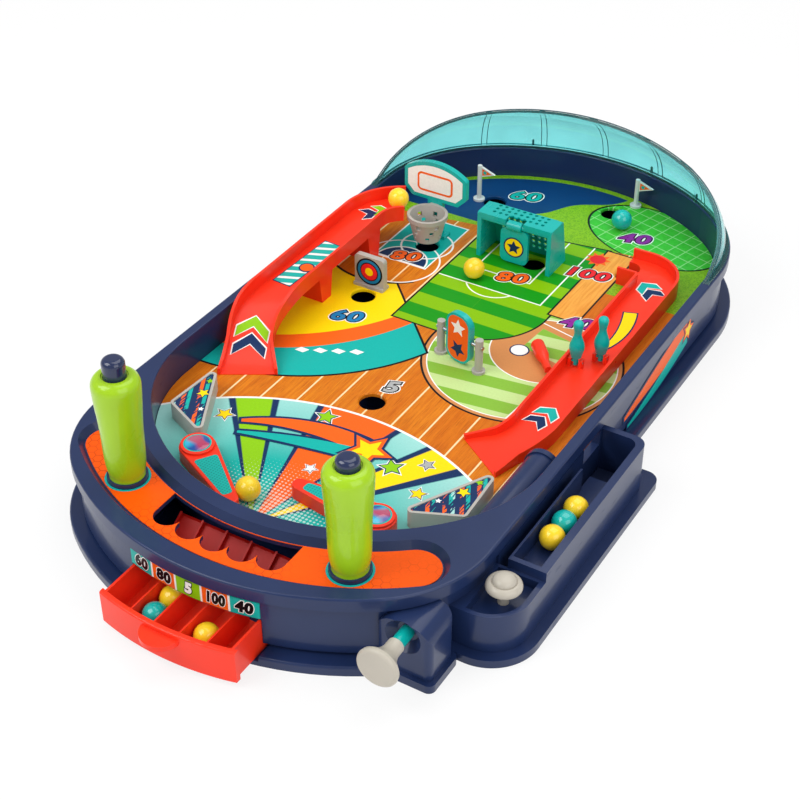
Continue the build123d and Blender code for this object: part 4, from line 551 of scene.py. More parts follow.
# %% Give every solid its finish
drive = ("flipper_crank", "drive_slider", "push_rod")
pairs = [f"{hand}_{word}" for hand in ("left", "right") for word in drive]
dressed = {
    navy: ["body_shell", "base_tub", "ball_tray", "plunger_housing", "launch_tube"],
    navy_button: ["left_button", "right_button"],
    inner: pairs + ["loader_lever"],
    lime: ["left_grip", "right_grip"],
    red: ["drawer", "left_ramp", "right_ramp", "left_flipper", "right_flipper", "bat"],
    # The lanes and hood take the darker red, which is painted shade.
    shaded_red: ["score_channels", "score_hood"],
    teal: ["goal", "goal_net", "goalkeeper", "spinner_plate", "front_pin", "rear_pin", "backboard",
           "plunger_rod", "left_grip_ring", "right_grip_ring"],
    beige: ["plunger_knob", "loader_knob"],
    grey: ["left_slingshot", "right_slingshot", "target", "basket", "spinner_posts"],
    white: ["lake_flag", "green_flag"],
    field_print: ["playfield_board"],
    deck_print: ["deck_overlay"],
    label_print: ["score_label"],
    clear: ["dome"],
    yellow_ball: ["yellow_balls", "drawer_yellow_balls", "flipper_ball"],
    teal_ball: ["teal_balls", "drawer_teal_ball"],
    steel: ["left_button_spring", "right_button_spring", "plunger_spring", "spinner_axle", "loader_pin"],
    dark_steel: ["screws"],
}
for material, names in dressed.items():
    for name in names:
        nodes[name].data.materials.clear()
        nodes[name].data.materials.append(material)
left_out = set(nodes) - {name for names in dressed.values() for name in names}
print("solids without a finish:", sorted(left_out))

# %% [markdown]
# ## Things that are printed or stuck on
# Numbers, stars and panels are thin sheets a tenth of a millimetre above what carries them.
# A flat outline is worked out as one array and becomes one face.
# Where the surface is curved, a Shrinkwrap lays the sheet on it before its mesh is kept.

# %% Inks for the stuck-on pieces
chart = {"white": WHITE, "black": BLACK, "navy": NAVY, "teal": TEAL, "orange": ORANGE, "yellow": YELLOW,
         "lime": LIME, "red": RED, "blue": BLUE, "grey": GREY, "purple": PURPLE}
inks = {name: finish(f"ink_{name}", printed, colour, 0.32, coat=0.05) for name, colour in chart.items()}


# %% Helpers that make and place a sheet
def piece(name, mesh, materials, body="cabinet"):
    """An object for a finished mesh, riding on a body."""
    made = bpy.data.objects.new(name, mesh)
    for material in materials:
        mesh.materials.append(material)
    bpy.context.scene.collection.objects.link(made)
    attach(made, body)
    return made


def kept_mesh(name, points, faces, index):
    """Mesh of points in millimetres, with the index of each face's finish."""
    mesh = bpy.data.meshes.new(name)
    mesh.from_pydata((points * MM).tolist(), [], faces)
    mesh.polygons.foreach_set("material_index", index)
    return mesh


def faces_mesh(name, loops):
    """One mesh of flat faces: each loop is an array of points and the index of its finish."""
    ends = np.cumsum([len(loop) for loop, _ in loops])
    faces = [list(range(end - len(loop), end)) for end, (loop, _) in zip(ends, loops)]
    return kept_mesh(name, np.concatenate([loop for loop, _ in loops]), faces, [index for _, index in loops])


def rounded(corners, radius, inset=0.0, steps=8):
    """Outline of a convex shape with round corners: each corner's arc shares its circle's middle."""
    p = np.array(corners, float)
    way = np.roll(p, -1, 0) - p
    way /= np.linalg.norm(way, axis=1)[:, None]
    out = np.stack([way[:, 1], -way[:, 0]], 1)
    before = np.roll(out, 1, 0)
    middle = p - radius * (before + out) / (1 + (before * out).sum(1))[:, None]
    first = np.arctan2(before[:, 1], before[:, 0])
    swing = np.arctan2(np.cross(before, out), (before * out).sum(1))
    angle = first[:, None] + swing[:, None] * np.linspace(0, 1, steps)
    arc = np.stack([np.cos(angle), np.sin(angle)], 2) * (radius - inset)
    return (middle[:, None] + arc).reshape(-1, 2)


def circle(radius, count=48):
    """Outline of a circle: radius times the cosine and sine of an even turn."""
    a = np.arange(count) * 2 * np.pi / count
    return radius * np.stack([np.cos(a), np.sin(a)], 1)


def star(radius, points=5, dent=0.48, turn=90.0):
    """Outline of a star: points at radius, dents at a share of it, in turn."""
    a = np.radians(turn) + np.arange(2 * points) * np.pi / points
    r = np.where(np.arange(2 * points) % 2 == 0, radius, dent * radius)
    return np.stack([r * np.cos(a), r * np.sin(a)], 1)


def lay_flat(outline, x, y, z):
    """Points of an outline on a level surface."""
    return np.column_stack([outline[:, 0] + x, outline[:, 1] + y, np.full(len(outline), z)])


def stand_up(outline, x, y, z, turn=0.0):
    """Points of an outline on an upright surface that faces the player, turned about Z."""
    a = np.radians(turn)
    return np.column_stack([x + outline[:, 0] * np.cos(a), y + outline[:, 0] * np.sin(a), z + outline[:, 1]])


def drape(made, target, lift):
    """Lay a sheet on a solid from above with a Shrinkwrap, then keep the mesh it gives."""
    wrap = made.modifiers.new("lay", "SHRINKWRAP")
    wrap.wrap_method, wrap.wrap_mode, wrap.target = "PROJECT", "ABOVE_SURFACE", nodes[target]
    wrap.use_project_z, wrap.use_negative_direction, wrap.use_positive_direction = True, True, False
    wrap.offset = lift * MM
    deps = bpy.context.evaluated_depsgraph_get()
    mesh = bpy.data.meshes.new_from_object(made.evaluated_get(deps))
    made.modifiers.clear()
    made.data = mesh


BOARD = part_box("playfield_board")[1].z / MM
print("board top in millimetres:", round(BOARD, 2))

# %% [markdown]
# ## Numbers
# The scores are plain bold numbers: a white edge, a dark edge and a fill.
# The three are the same text set three times, each grown a little less and a little higher.


# %% Set the numbers of the field
PRESSED = 0.03


def digits(text, size, grow, shear):
    """Points and faces of a text whose edge bulges out by grow, all in millimetres."""
    curve = bpy.data.curves.new("digits", "FONT")
    curve.body, curve.size, curve.shear = text, size, shear
    curve.bevel_depth, curve.bevel_resolution, curve.resolution_u = grow, 1, 8
    curve.align_x, curve.align_y = "CENTER", "CENTER"
    curve.space_character = 1.12
    temporary = bpy.data.objects.new("digits", curve)
    bpy.context.scene.collection.objects.link(temporary)
    deps = bpy.context.evaluated_depsgraph_get()
    mesh = bpy.data.meshes.new_from_object(temporary.evaluated_get(deps))
    points = np.zeros(len(mesh.vertices) * 3)
    mesh.vertices.foreach_get("co", points)
    faces = [list(p.vertices) for p in mesh.polygons]
    bpy.data.objects.remove(temporary)
    bpy.data.meshes.remove(mesh)
    return points.reshape(-1, 3), faces


def turned(degrees):
    """Matrix that turns rows of points about Z."""
    a = np.radians(degrees)
    return np.array([[np.cos(a), np.sin(a)], [-np.sin(a), np.cos(a)]])


def stacked(text, size, layers, shear=0.18):
    """Points, faces and finishes of a text in layers, pressed almost flat; each is a growth and a height."""
    points, faces, index = [], [], []
    for layer, (grow, z) in enumerate(layers):
        p, f = digits(text, size, grow, shear)
        p[:, 2] = z + PRESSED * p[:, 2] / grow
        first = sum(len(q) for q in points)
        faces += [[v + first for v in face] for face in f]
        index += [layer] * len(f)
        points.append(p)
    return np.concatenate(points), faces, index


EDGES = ((1.8, 0.10), (1.2, 0.18), (0.5, 0.26))
scores = (("60", -69, 9.5, 14.5, 19, "blue"), ("5", -5.4, -40.5, 13.5, 20, "grey"),
          ("80", -74.2, 90.4, 14, 19, "orange"), ("80", -1, 103, 14.5, 16, "orange"),
          ("100", 39, 132.5, 14, 10, "red"), ("60", -42.8, 202.9, 15.5, 17, "teal"),
          ("40", 47.4, 189.4, 15, 17, "purple"), ("40", 58.8, 76.8, 14.5, 16, "purple"))
for count, (text, x, y, size, turn, colour) in enumerate(scores):
    points, faces, index = stacked(text, size, EDGES)
    points[:, :2] = points[:, :2] * (1.3, 1.05) @ turned(turn)
    mesh = kept_mesh(f"score_{count}", points + (x, y, BOARD), faces, index)
    piece(f"score_{text}_{count}", mesh, (inks["white"], inks["black"], inks[colour]))
print("numbers on the field:", len(scores))

# %% Set the numbers of the score strip
BOW_Y, LANE, STRIP_EDGES = -81.0, 16.0, ((1.1, 0.15), (0.62, 0.22))
strip_low, strip_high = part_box("score_label")
strip_z, strip_bow = (strip_low.z + strip_high.z) / 2 / MM, BOW_Y - strip_low.y / MM
for lane, text in enumerate(("60", "80", "5", "100", "40")):
    points, faces, index = stacked(text, 9.6, STRIP_EDGES, 0.12)
    narrow = 0.72 if len(text) == 3 else 0.9
    x = points[:, 0] * narrow + LANE * (lane - 2)
    y = BOW_Y - np.sqrt((strip_bow + points[:, 2])**2 - x**2)
    mesh = kept_mesh(f"strip_{text}", np.column_stack([x, y, points[:, 1] + strip_z]), faces, index)
    edge, fill = ("black", "white") if text == "5" else ("white", "black")
    piece(f"strip_{text}", mesh, (inks[edge], inks[fill]))

# %% [markdown]
# ## Stars and arrows
# Stars brighten the burst, and chevrons show where each ramp leads.
# A chevron is a band that bends in the middle: a grid of its length and its width.
# Shrinkwrap lays it on the ramp's floor.

# %% Scatter the stars of the burst
stars = ((-74, -112, 5.5, "yellow"), (-22, -84, 6.5, "lime"), (34, -104, 7.0, "lime"), (50, -92, 4.5, "grey"),
         (-4, -128, 4.0, "white"), (58, -116, 5.0, "yellow"))
for count, (x, y, size, colour) in enumerate(stars):
    loops = [(lay_flat(star(size * grow, turn=90 + 17 * count), x, y, BOARD + lift), index)
             for index, (grow, lift) in enumerate(((1.32, 0.08), (1.12, 0.14), (0.92, 0.2)))]
    mesh = faces_mesh(f"star_{count}", loops)
    piece(f"star_{count}", mesh, (inks["white"], inks["navy"], inks[colour]))


# %% Lay the chevrons on the ramps
HIGH, CHEVRON_THICK, CHEVRON_RISE, EQUAL = 90.0, 6.2, 0.4, 1e-7


def chevron(x, y, heading, wide, thick, rise):
    """Grid over length u and width v, high over the ramp: the band runs back by rise times |u|."""
    u, v = np.meshgrid(np.linspace(-1, 1, 25), np.linspace(-0.5, 0.5, 7))
    along = thick * v - rise * np.abs(u)
    across = 0.5 * wide * u
    a = np.radians(heading)
    return np.stack([x + along * np.cos(a) + across * np.sin(a), y + along * np.sin(a) - across * np.cos(a),
                     np.full(u.shape, HIGH)], 2)


def grid_mesh(name, points):
    """Mesh of a grid of points: one face for each cell, with equal points made one."""
    rows, columns = points.shape[:2]
    i = np.arange(rows * columns).reshape(rows, columns)
    faces = np.stack([i[:-1, :-1], i[1:, :-1], i[1:, 1:], i[:-1, 1:]], 2).reshape(-1, 4)
    mesh = bpy.data.meshes.new(name)
    mesh.from_pydata((points.reshape(-1, 3) * MM).tolist(), [], faces[:, ::-1].tolist())
    closed = bmesh.new()
    closed.from_mesh(mesh)
    bmesh.ops.remove_doubles(closed, verts=closed.verts, dist=EQUAL)
    closed.to_mesh(mesh)
    closed.free()
    mesh.shade_smooth()
    return mesh


def decal(name, points, colour, target, lift):
    """A grid of points laid on a solid from above, in one ink."""
    made = piece(name, grid_mesh(name, points), (colour,))
    drape(made, target, lift)


arrows = (("left_ramp", -97.4, -52.0, 113, 20, "navy"), ("left_ramp", -101.2, -42.0, 110, 20, "lime"),
          ("left_ramp", -100.6, 92.6, 42, 11.5, "navy"), ("left_ramp", -96.2, 100.0, 38, 11.5, "lime"),
          ("right_ramp", 86.4, -26.0, 70, 12.5, "navy"), ("right_ramp", 88.4, -16.0, 75, 13.5, "teal"),
          ("right_ramp", 86.8, 126.0, 140, 13, "navy"), ("right_ramp", 80.6, 131.5, 145, 14, "teal"))
for count, (ramp, x, y, heading, wide, colour) in enumerate(arrows):
    for edge, (grow, lift) in enumerate(((1.5, 0.1), (0.0, 0.2))):
        points = chevron(x, y, heading, wide + grow, CHEVRON_THICK + grow, CHEVRON_RISE * wide)
        decal(f"arrow_{count}_{edge}", points, inks[colour] if edge else inks["white"], ramp, lift)
print("arrows:", len(arrows))

# %% [markdown]
# ## Plain motifs
# Comets, a banner and a ribbon fill the places that the print keeps for something busy.
# A comet's tail is a band along a bent line, drawn as a grid over its length and its width.


# %% Lay the comets, the banner and the ribbon
def band(start, bend, end, wide, grow=0.0):
    """Grid along (1-t)^2 a + 2t(1-t) b + t^2 c, its width from a fifth of wide to wide."""
    t, v = np.meshgrid(np.linspace(0, 1, 33), np.linspace(-1, 1, 7), indexing="ij")
    t, v = t[..., None], v[..., None]
    a, b, c = np.array([start, bend, end], float)
    way = (1 - t) * (b - a) + t * (c - b)
    way = way / np.linalg.norm(way, axis=2, keepdims=True)
    side = np.stack([-way[..., 1], way[..., 0]], 2)
    half = (0.2 + 0.8 * np.sin(t * np.pi / 2)) * wide / 2 + grow
    return (1 - t)**2 * a + 2 * t * (1 - t) * b + t**2 * c + way * grow * (2 * t - 1) + side * half * v


def level(grid, z):
    """Grid of plan points at one height."""
    return np.concatenate([grid, np.full((*grid.shape[:2], 1), z)], 2)


def upright(grid, x):
    """Grid of (y, z) points on a side wall."""
    return np.concatenate([np.full((*grid.shape[:2], 1), x), grid], 2)


def disc(x, y, radius):
    """Grid of plan points over radius and angle."""
    r, a = np.meshgrid(np.linspace(0, radius, 6), np.linspace(0, 2 * np.pi, 41), indexing="ij")
    return np.stack([x + r * np.cos(a), y + r * np.sin(a)], 2)


def draw_banner(s):
    """Teal banner with a navy edge and white slanted bars."""
    along, across = s.along(BANNER[2], *BANNER[:2]), s.along(BANNER[2] + 90, *BANNER[:2])
    bars = s.sum("PINGPONG", s.sum("MULTIPLY_ADD", across, 0.5, s.sum("ADD", along, 60.0)), 4.0)
    s.lay(s.under(bars, 1.3), WHITE)
    s.lay(s.either(s.over(s.sum("ABSOLUTE", along), 27.2), s.over(s.sum("ABSOLUTE", across), 6.2)), NAVY)


WALL_X, BANNER = 122.0, (-103.6, 20.0, 87.0)
FIELD_COMET, WALL_COMET = (15, -98), (104, 27)
tails = (((-62, -112), (-30, -92), (10, -96), 13, "orange"),
         ((-58, -122), (-26, -110), (12, -104), 10, "teal"))
wall_tails = (((12, 17), (52, 22), (102, 30), 14, "orange"),
              ((18, 8), (60, 10), (104, 22), 11, "teal"))
for place, strokes in (("field", tails), ("wall", wall_tails)):
    for edge, grow in enumerate((1.8, 0.0)):
        for count, (first, bend, last, wide, colour) in enumerate(strokes):
            name = f"{place}_tail_{count}_{edge}"
            rise = 0.28 + 0.08 * edge + 0.03 * count
            flat = band(first, bend, last, wide, grow)
            grid = level(flat, BOARD + rise) if place == "field" else upright(flat, WALL_X + rise)
            material = inks[colour] if edge else inks["navy"]
            piece(name, grid_mesh(name, grid), (material,))
layers = list(enumerate(((1.35, 0.46), (1.1, 0.52), (0.75, 0.58))))
comet = [(lay_flat(star(14 * grow, turn=75), *FIELD_COMET, BOARD + lift), i) for i, (grow, lift) in layers]
for i, (grow, lift) in layers:
    outline = star(8 * grow, turn=75) + WALL_COMET
    comet.append((np.column_stack([np.full(len(outline), WALL_X + lift), outline]), i))
comet_inks = (inks["navy"], inks["orange"], inks["yellow"])
piece("comet_stars", faces_mesh("comet_stars", comet), comet_inks)
banner_print = finish("banner_print", printed, TEAL, 0.3, coat=0.3, draw=draw_banner)
decal("banner", chevron(*BANNER, 13.6, 56.0, 0.0), banner_print, "left_ramp", 0.2)
for edge, (grow, lift) in enumerate(((1.0, 0.1), (0.0, 0.2))):
    ball = level(disc(-101.0, 15.0, 4.2 + grow), HIGH)
    decal(f"ball_{edge}", ball, inks["orange" if edge else "navy"], "left_ramp", 0.25 + lift)
    ribbon = level(band((86, 50), (95, 72), (86, 98), 8, grow), HIGH)
    decal(f"ribbon_{edge}", ribbon, inks["yellow" if edge else "navy"], "right_ramp", lift)

# %% Lay the small motifs of the field
dash = np.array([(-4.0, -2.2), (2.0, -2.2), (4.0, 2.2), (-2.0, 2.2)])
loops = [(lay_flat(dash, -72 + 10 * i, -35 + 5 * i, BOARD + 0.1), 0) for i in range(4)]
loops += [(lay_flat(star(9, 9, 0.6), 38, 153, BOARD + 0.1), 1),
          (lay_flat(circle(5.2), 38, 153, BOARD + 0.16), 2),
          (lay_flat(circle(6.2), 42, 33, BOARD + 0.1), 3),
          (lay_flat(circle(5.3), 42, 33, BOARD + 0.16), 0)]
motif_inks = [inks[c] for c in ("white", "orange", "red", "navy")]
piece("small_motifs", faces_mesh("small_motifs", loops), motif_inks)

# %% [markdown]
# ## Lines on the dome
# Each rib of the clear dome shows as two dark lines, and the cut edge as one, because light bends there.
# Three short thick lines at the rim are the clips that hold the dome.
# A rib follows a quarter ellipse up to the sloping cut.
# The cut is where height sin t = slope (y - start), with y = y0 + (m + depth cos t) sin a.


# %% Run dark lines along the ribs and the cut edge
def dome_point(x, y, a, m, t):
    """Place on the dome: the ellipse at plan angle a about (x, y), t up from the rim."""
    r = m + DOME_DEPTH * np.cos(t)
    return np.stack([x + r * np.cos(a), y + r * np.sin(a), RIM + DOME_HEIGHT * np.sin(t)], -1)


def cut_angle(y, a, m):
    """Where the ellipse meets the slope: R sin(t - d) = slope (y - start + m sin a)."""
    k = DOME_SLOPE * DOME_DEPTH * np.sin(a)
    reach = np.hypot(DOME_HEIGHT, k)
    return np.arctan2(k, DOME_HEIGHT) + np.arcsin(DOME_SLOPE * (y - DOME_START + m * np.sin(a)) / reach)


AROUND = np.append(np.arange(8) * np.pi / 4, 0)


def tube(path, radius):
    """Grid of a thin tube: circles across the path's own direction."""
    way = np.gradient(path, axis=0)
    way /= np.linalg.norm(way, axis=1)[:, None]
    across = np.cross(way, (0.3, -0.2, 0.9))
    across /= np.linalg.norm(across, axis=1)[:, None]
    up = np.cross(across, way)
    a = AROUND[None, :, None]
    return path[:, None] + radius * (np.cos(a) * across[:, None] + np.sin(a) * up[:, None])


RIM, DOME_START, DOME_SLOPE, DOME_DEPTH, DOME_HEIGHT = 47.0, 128.0, 45 / 88, 118.6, 66.2
BOW, BOW_MIDDLE = 22.75, 105.0
CORNER, CORNER_X, CORNER_Y, SWEEP = -26.25, 30.0, 143.74, np.radians(52.24)
SIDE_STEPS, CORNER_STEPS, BOW_STEPS = 8, 16, 40
dark = finish("dome_line", moulded, ink("0A4A55"), 0.2, 0.1, 0.4)
ribs = [(angle, 1.0, 0.28) for angle in (53, 54.6, 71.5, 73.1, 90, 91.6, 108.5, 110.1, 126, 127.6)]
clips = [(angle, 0.12, 0.8) for angle in (57, 75.5, 112.5)]
for count, (angle, share, thick) in enumerate(ribs + clips):
    angle = np.radians(angle)
    t = np.linspace(0.02, share * cut_angle(BOW_MIDDLE, angle, BOW), 40)
    line = grid_mesh(f"dome_line_{count}", tube(dome_point(0, BOW_MIDDLE, angle, BOW, t), thick))
    piece(f"dome_line_{count}", line, (dark,))
turn, across_bow = np.linspace(0, SWEEP, CORNER_STEPS), np.linspace(SWEEP, np.pi - SWEEP, BOW_STEPS)
straight, round_corner = np.linspace(DOME_START + 1, CORNER_Y, SIDE_STEPS), np.full(CORNER_STEPS, CORNER_Y)
right_x = np.full(SIDE_STEPS + CORNER_STEPS, CORNER_X)
x = np.concatenate([right_x, np.zeros(BOW_STEPS), -right_x])
y = np.concatenate([straight, round_corner, np.full(BOW_STEPS, BOW_MIDDLE), round_corner, straight[::-1]])
a = np.concatenate([np.zeros(SIDE_STEPS), turn, across_bow, np.pi - turn[::-1], np.full(SIDE_STEPS, np.pi)])
m = np.where(x == 0, BOW, CORNER)
lip = dome_point(x, y, a, m, cut_angle(y, a, m))
keep = np.append(True, np.linalg.norm(np.diff(lip, axis=0), axis=1) > 0.05)
piece("dome_lip", grid_mesh("dome_lip", tube(lip[keep], 0.4)), (dark,))
print("dome lines:", len(ribs + clips))

# %% [markdown]
# ## Springs
# A spring gets shorter when its button goes down or its plunger is pulled.
# The wire of the frame is rigid, so a wire of the same size stands for it. A spring without a joint is wound
# shorter by its travel, towards its seat; the others keep their full length.
# A wire is a tube about a helix, with its ends drawn to a point.


# %% Wind the springs
def wind(low, high, up, wire, turns, short):
    """Tube about a helix in a box: the radius and the rise swing by half the wire with cos v and sin v."""
    u, v = np.meshgrid(np.linspace(0, 1, TURN_STEPS * turns + 1), AROUND, indexing="ij")
    half = wire / 2 * np.clip(POINTED * np.minimum(u, 1 - u), 0, 1)
    size, middle = high - low, (low + high) / 2
    r = (size[up - 1] - wire) / 2 + half * np.cos(v)
    a = 2 * np.pi * turns * u
    grid = np.zeros((*u.shape, 3))
    grid[..., up - 2] = middle[up - 2] + r * np.cos(a)
    grid[..., up - 1] = middle[up - 1] + r * np.sin(a)
    grid[..., up] = low[up] + wire / 2 + (size[up] - wire - short) * u + half * np.sin(v)
    return grid


TURN_STEPS, POINTED = 32, 60
BUTTON_WIRE, BUTTON_TURNS, PLUNGER_WIRE, PLUNGER_TURNS = 0.9, 7, 1.0, 9
Y_UP, Z_UP = np.eye(3)[1:]
springs = (("left_button", Z_UP, BUTTON_WIRE, BUTTON_TURNS, 5.4, "left_button_press"),
           ("right_button", Z_UP, BUTTON_WIRE, BUTTON_TURNS, 0.7, None),
           ("plunger", Y_UP, PLUNGER_WIRE, PLUNGER_TURNS, 20.1, "plunger_pull"))
for name, up, wire, turns, travel, joint in springs:
    node = f"{name}_spring"
    low, high = (np.array(corner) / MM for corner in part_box(node))
    along = int(up.argmax())
    grid = wind(low, high, along, wire, turns, 0.0 if joint else travel)
    made = piece(f"{name}_coil", grid_mesh(node, grid), (steel,))
    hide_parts(node)
    if joint:
        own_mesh(made)

# %% [markdown]
# ## Panels on the flippers and slingshots
# Each flipper carries a dotted panel and a glossy round lens on its hub.
# The slingshots have a sheet of diagonal strokes in the recess of their tops.


# %% Draw the panels
def draw_dots(s):
    """Teal with a grid of darker dots."""
    s.lay(s.under(s.dots(1.7), 0.5), ink("0B8F88"))


def draw_strokes(s):
    """Navy with diagonal strokes whose ends are ragged by noise."""
    across = s.along(28)
    ragged = s.sum("ADD", s.along(118), s.sum("MULTIPLY", s.noise(0.5, 1.0, (2, 0.2, 1)), 40.0))
    for pitch, shift, colour in ((9.0, 0.0, TEAL), (9.0, 3.2, ORANGE), (27.0, 8.0, PALE_TEAL)):
        band = s.under(s.sum("PINGPONG", s.sum("ADD", across, 300 + shift), pitch / 2), 1.1)
        gap = s.over(s.sum("PINGPONG", s.sum("ADD", ragged, 400 + 9 * shift), 19.0), 6.0, 0.8)
        s.lay(s.both(band, gap), colour)


def draw_lens(s):
    """Deep blue with soft cloudy swirls."""
    s.lay(s.over(s.noise(0.09, 0.0), 0.5, 0.2), ink("2FB4D8"))
    s.lay(s.sum("MULTIPLY", s.over(s.noise(0.11, 0.0, (1, -1, 1)), 0.54, 0.16), 0.85), ink("C2304E"))


dots_print = finish("dots_print", printed, TEAL, 0.3, coat=0.3, draw=draw_dots)
strokes_print = finish("strokes_print", printed, NAVY, 0.3, coat=0.3, draw=draw_strokes)
lens = finish("lens", printed, ink("1A4FA0"), 0.12, coat=1.0, draw=draw_lens)


# %% Lay the panels on the flippers
def lens_cap(x, y, z, radius, rise):
    """Shallow cap over angle and radius: height rise times one minus the radius share squared."""
    r, a = np.meshgrid(np.linspace(0, 1, 8), np.linspace(0, 2 * np.pi, 49), indexing="ij")
    return np.stack([x + radius * r * np.cos(a), y + radius * r * np.sin(a), z + rise * (1 - r**2)], 2)


PIVOT_Y, HUB_TOP, ARM_TOP = -152.0, 35.5, 34.0
for side_name, x, heading in (("left", -62.5, -33.0), ("right", 54.5, 180 - 2.05)):
    corners = ((12.2, -7.0), (46.5, -2.9), (46.5, 2.9), (12.2, 7.0))
    outline = rounded(corners, 1.8) @ turned(heading)
    panel = faces_mesh(f"{side_name}_panel", [(lay_flat(outline, x, PIVOT_Y, ARM_TOP + 0.12), 0)])
    piece(f"{side_name}_flipper_panel", panel, (dots_print,), f"{side_name}_flipper")
    ring = [(lay_flat(circle(7.9), x, PIVOT_Y, HUB_TOP + 0.08), 0)]
    rings = faces_mesh(f"{side_name}_hub", ring)
    piece(f"{side_name}_hub_ring", rings, (inks["teal"],), f"{side_name}_flipper")
    cap = grid_mesh(f"{side_name}_lens", lens_cap(x, PIVOT_Y, HUB_TOP + 0.14, 7.0, 0.9))
    piece(f"{side_name}_hub_lens", cap, (lens,), f"{side_name}_flipper")

# %% Lay the sheets on the slingshots
SLING_TOP, RECESS, SLING_X = 36.0, 0.6, -1.6
sling_stars = ((86, -113, 4.0, "yellow"), (89.5, -101.5, 2.6, "lime"), (78, -126, 2.0, "white"))
for side_name, way in (("left", -1), ("right", 1)):
    corners = [(SLING_X + way * x, y) for x, y in ((94.5, -85.7), (97.2, -130.1), (63.5, -145.2))][::-way]
    loops = [(lay_flat(rounded(corners, 3.0, 1.75), 0, 0, SLING_TOP - RECESS + 0.1), 0)]
    for count, (x, y, size, _) in enumerate(sling_stars):
        for grow, index, lift in ((1.3, 1, 0.16), (1.0, 2 + count, 0.22)):
            outline = star(size * grow, turn=80 - 20 * count)
            loops.append((lay_flat(outline, SLING_X + way * x, y, SLING_TOP - RECESS + lift), index))
    mesh = faces_mesh(f"{side_name}_sling", loops)
    materials = [strokes_print, inks["navy"]] + [inks[colour] for *_, colour in sling_stars]
    piece(f"{side_name}_slingshot_print", mesh, materials)

# %% [markdown]
# ## Target, backboard, flags and plates
# These stand upright, so their sheets face the player.
# Rings are stacked discs, each a little in front of the last.

# %% Stick the rings on the target
target_low, target_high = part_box("target")
mid = (target_low + target_high) / 2 / MM
TARGET_FACE = 46.0
rings = ((9.8, "black"), (8.6, "blue"), (6.7, "black"), (6.0, "red"), (2.9, "yellow"))
loops = [(stand_up(circle(radius), mid.x, TARGET_FACE - 0.08 - 0.06 * i, mid.z + 0.5), i)
         for i, (radius, _) in enumerate(rings)]
piece("target_rings", faces_mesh("target_rings", loops), [inks[colour] for _, colour in rings])


# %% Stick the panel on the backboard
def arch(half, low, side, top, cut):
    """Outline of a board with cut lower corners and a top that bows up to (0, top)."""
    bow = (half**2 + (top - side)**2) / (2 * (top - side))
    a = np.linspace(1, -1, 25) * np.arcsin(half / bow)
    curve = np.stack([bow * np.sin(a), top - bow + bow * np.cos(a)], 1)
    foot = [(-half, low + cut), (cut - half, low), (half - cut, low), (half, low + cut)]
    return np.concatenate([foot, curve])


box_frame = ((-13.5, 57), (13.5, 57), (13.5, 71), (-13.5, 71))
BACKBOARD = (-71.0, 124.5)
loops = [(stand_up(arch(20.8, 54.2, 70.4, 76.8, 5.0), *BACKBOARD, 0) - (0, 0.08, 0), 0),
         (stand_up(rounded(box_frame, 3.5), *BACKBOARD, 0) - (0, 0.14, 0), 1),
         (stand_up(rounded(box_frame, 3.5, 1.5), *BACKBOARD, 0) - (0, 0.2, 0), 0)]
piece("backboard_panel", faces_mesh("backboard_panel", loops), (inks["white"], inks["orange"]))

# %% Stick the pennants on the flags
for name, x, y, top in (("lake_flag", -68.5, 183.0, 52.0), ("green_flag", 30.0, 231.0, 46.0)):
    pennant = np.array([(2.2, -7.2), (9.6, -4.5), (2.2, -1.8)])
    loops = [(stand_up(pennant, x, y - 0.78, top), 0), (stand_up(pennant[::-1], x, y + 0.78, top), 0),
             (stand_up(circle(1.3, 20) + (4.4, -4.5), x, y - 0.84, top), 1)]
    piece(f"{name}_pennant", faces_mesh(name, loops), (inks["orange"], inks["teal"]))

# %% Stick plain badges on the keeper and the spinner
keeper_low, keeper_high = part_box("goalkeeper")
mid = (keeper_low + keeper_high) / 2 / MM
KEEPER_FACE, BADGE_Z = 117.8, 38.5
loops = [(stand_up(circle(7.4), mid.x, KEEPER_FACE - 0.08, BADGE_Z), 0),
         (stand_up(circle(6.4), mid.x, KEEPER_FACE - 0.14, BADGE_Z), 1),
         (stand_up(star(5.2), mid.x, KEEPER_FACE - 0.2, BADGE_Z), 0)]
piece("keeper_badge", faces_mesh("keeper_badge", loops), (inks["navy"], inks["yellow"]), "keeper")

SPIN_X, SPIN_Y, SPIN_Z, SPIN_TURN, SPIN_FACE = 16.5, 3.7, 43.0, -13.0, 2.08
frame_corners = ((-8, -15.5), (8, -15.5), (8, 15.5), (-8, 15.5))
a = np.radians(SPIN_TURN)
out = np.array([np.sin(a), -np.cos(a)])
loops = []
for way in (1, -1):
    at = np.array([SPIN_X, SPIN_Y]) + way * out * SPIN_FACE
    for shape, lift, index in ((rounded(frame_corners, 6.5), 0.0, 0), (star(6.0) + (0, 7.5), 0.06, 1),
                               (star(6.0, turn=270) - (0, 7.5), 0.06, 2)):
        spot = at + way * out * lift
        loops.append((stand_up(shape[::way], *spot, SPIN_Z, SPIN_TURN), index))
badge_inks = (inks["orange"], inks["white"], inks["navy"])
piece("spinner_badge", faces_mesh("spinner_badge", loops), badge_inks, "spinner")
print("upright sheets done")

# %% [markdown]
# ## Studio
# The toy stands on a white floor in soft light from three large lamps.
# The floor mostly glows for the camera, so that it looks white and still keeps a soft shadow.


# %% Lay the floor and set the lamps
FLOOR_GLOW, FLOOR_REACH, SKY = 0.8, 6000, 0.48


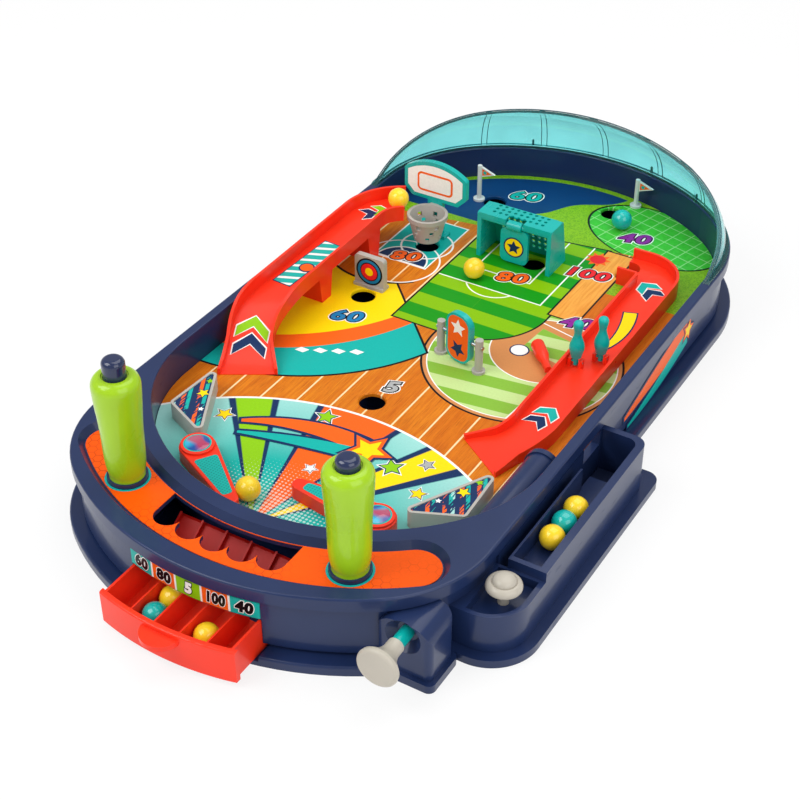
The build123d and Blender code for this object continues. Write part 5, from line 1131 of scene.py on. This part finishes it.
def white_floor():
    """Floor material: mostly a plain white glow to camera, glossy and clear rays, else a white matt."""
    material = bpy.data.materials.new("floor_white")
    material.use_nodes = True
    tree = material.node_tree
    matt = tree.nodes["Principled BSDF"]
    matt.inputs["Base Color"].default_value = (0.9, 0.9, 0.9, 1)
    matt.inputs["Roughness"].default_value = 0.9
    rays = tree.nodes.new("ShaderNodeLightPath")
    seen = Sheet(tree, rays.outputs["Ray Length"], WHITE)
    kinds = ("Is Camera Ray", "Is Glossy Ray", "Is Transmission Ray")
    mask = seen.either(*(rays.outputs[kind] for kind in kinds))
    glow = tree.nodes.new("ShaderNodeEmission")
    mix = tree.nodes.new("ShaderNodeMixShader")
    tree.links.new(seen.sum("MULTIPLY", mask, FLOOR_GLOW), mix.inputs[0])
    tree.links.new(matt.outputs[0], mix.inputs[1])
    tree.links.new(glow.outputs[0], mix.inputs[2])
    tree.links.new(mix.outputs[0], tree.nodes["Material Output"].inputs[0])
    return material


reach = np.linspace(-FLOOR_REACH, FLOOR_REACH, 13)
floor_x, floor_y = np.meshgrid(reach, reach)
floor_grid = np.stack([floor_x, floor_y, 0 * floor_x], 2)[:, ::-1]
floor = bpy.data.objects.new("floor", grid_mesh("floor", floor_grid))
floor.data.materials.append(white_floor())
bpy.context.scene.collection.objects.link(floor)

lamps = (("key", (-0.7, -0.9, 1.3), 1.0, 14), ("fill", (1.3, -0.6, 0.9), 1.2, 9),
         ("top", (0.1, 0.5, 1.6), 1.4, 12))
for name, place, size, power in lamps:
    lamp = bpy.data.objects.new(name, bpy.data.lights.new(name, "AREA"))
    lamp.data.size, lamp.data.energy = size, power
    lamp.location = place
    lamp.rotation_euler = (Vector((0, 0, 0.03)) - Vector(place)).to_track_quat("-Z", "Y").to_euler()
    bpy.context.scene.collection.objects.link(lamp)

world = bpy.data.worlds.new("studio")
bpy.context.scene.world = world
world.use_nodes = True
tree = world.node_tree
sky = tree.nodes["Background"]
rays = tree.nodes.new("ShaderNodeLightPath")
bright = Sheet(tree, rays.outputs["Ray Length"], WHITE)
mask = bright.either(rays.outputs["Is Camera Ray"], rays.outputs["Is Transmission Ray"])
tree.links.new(bright.sum("MULTIPLY_ADD", mask, 1 - SKY, SKY), sky.inputs["Strength"])
sky.inputs["Color"].default_value = (1, 1, 1, 1)
print("lamps:", len(lamps))

# %% [markdown]
# ## Finish
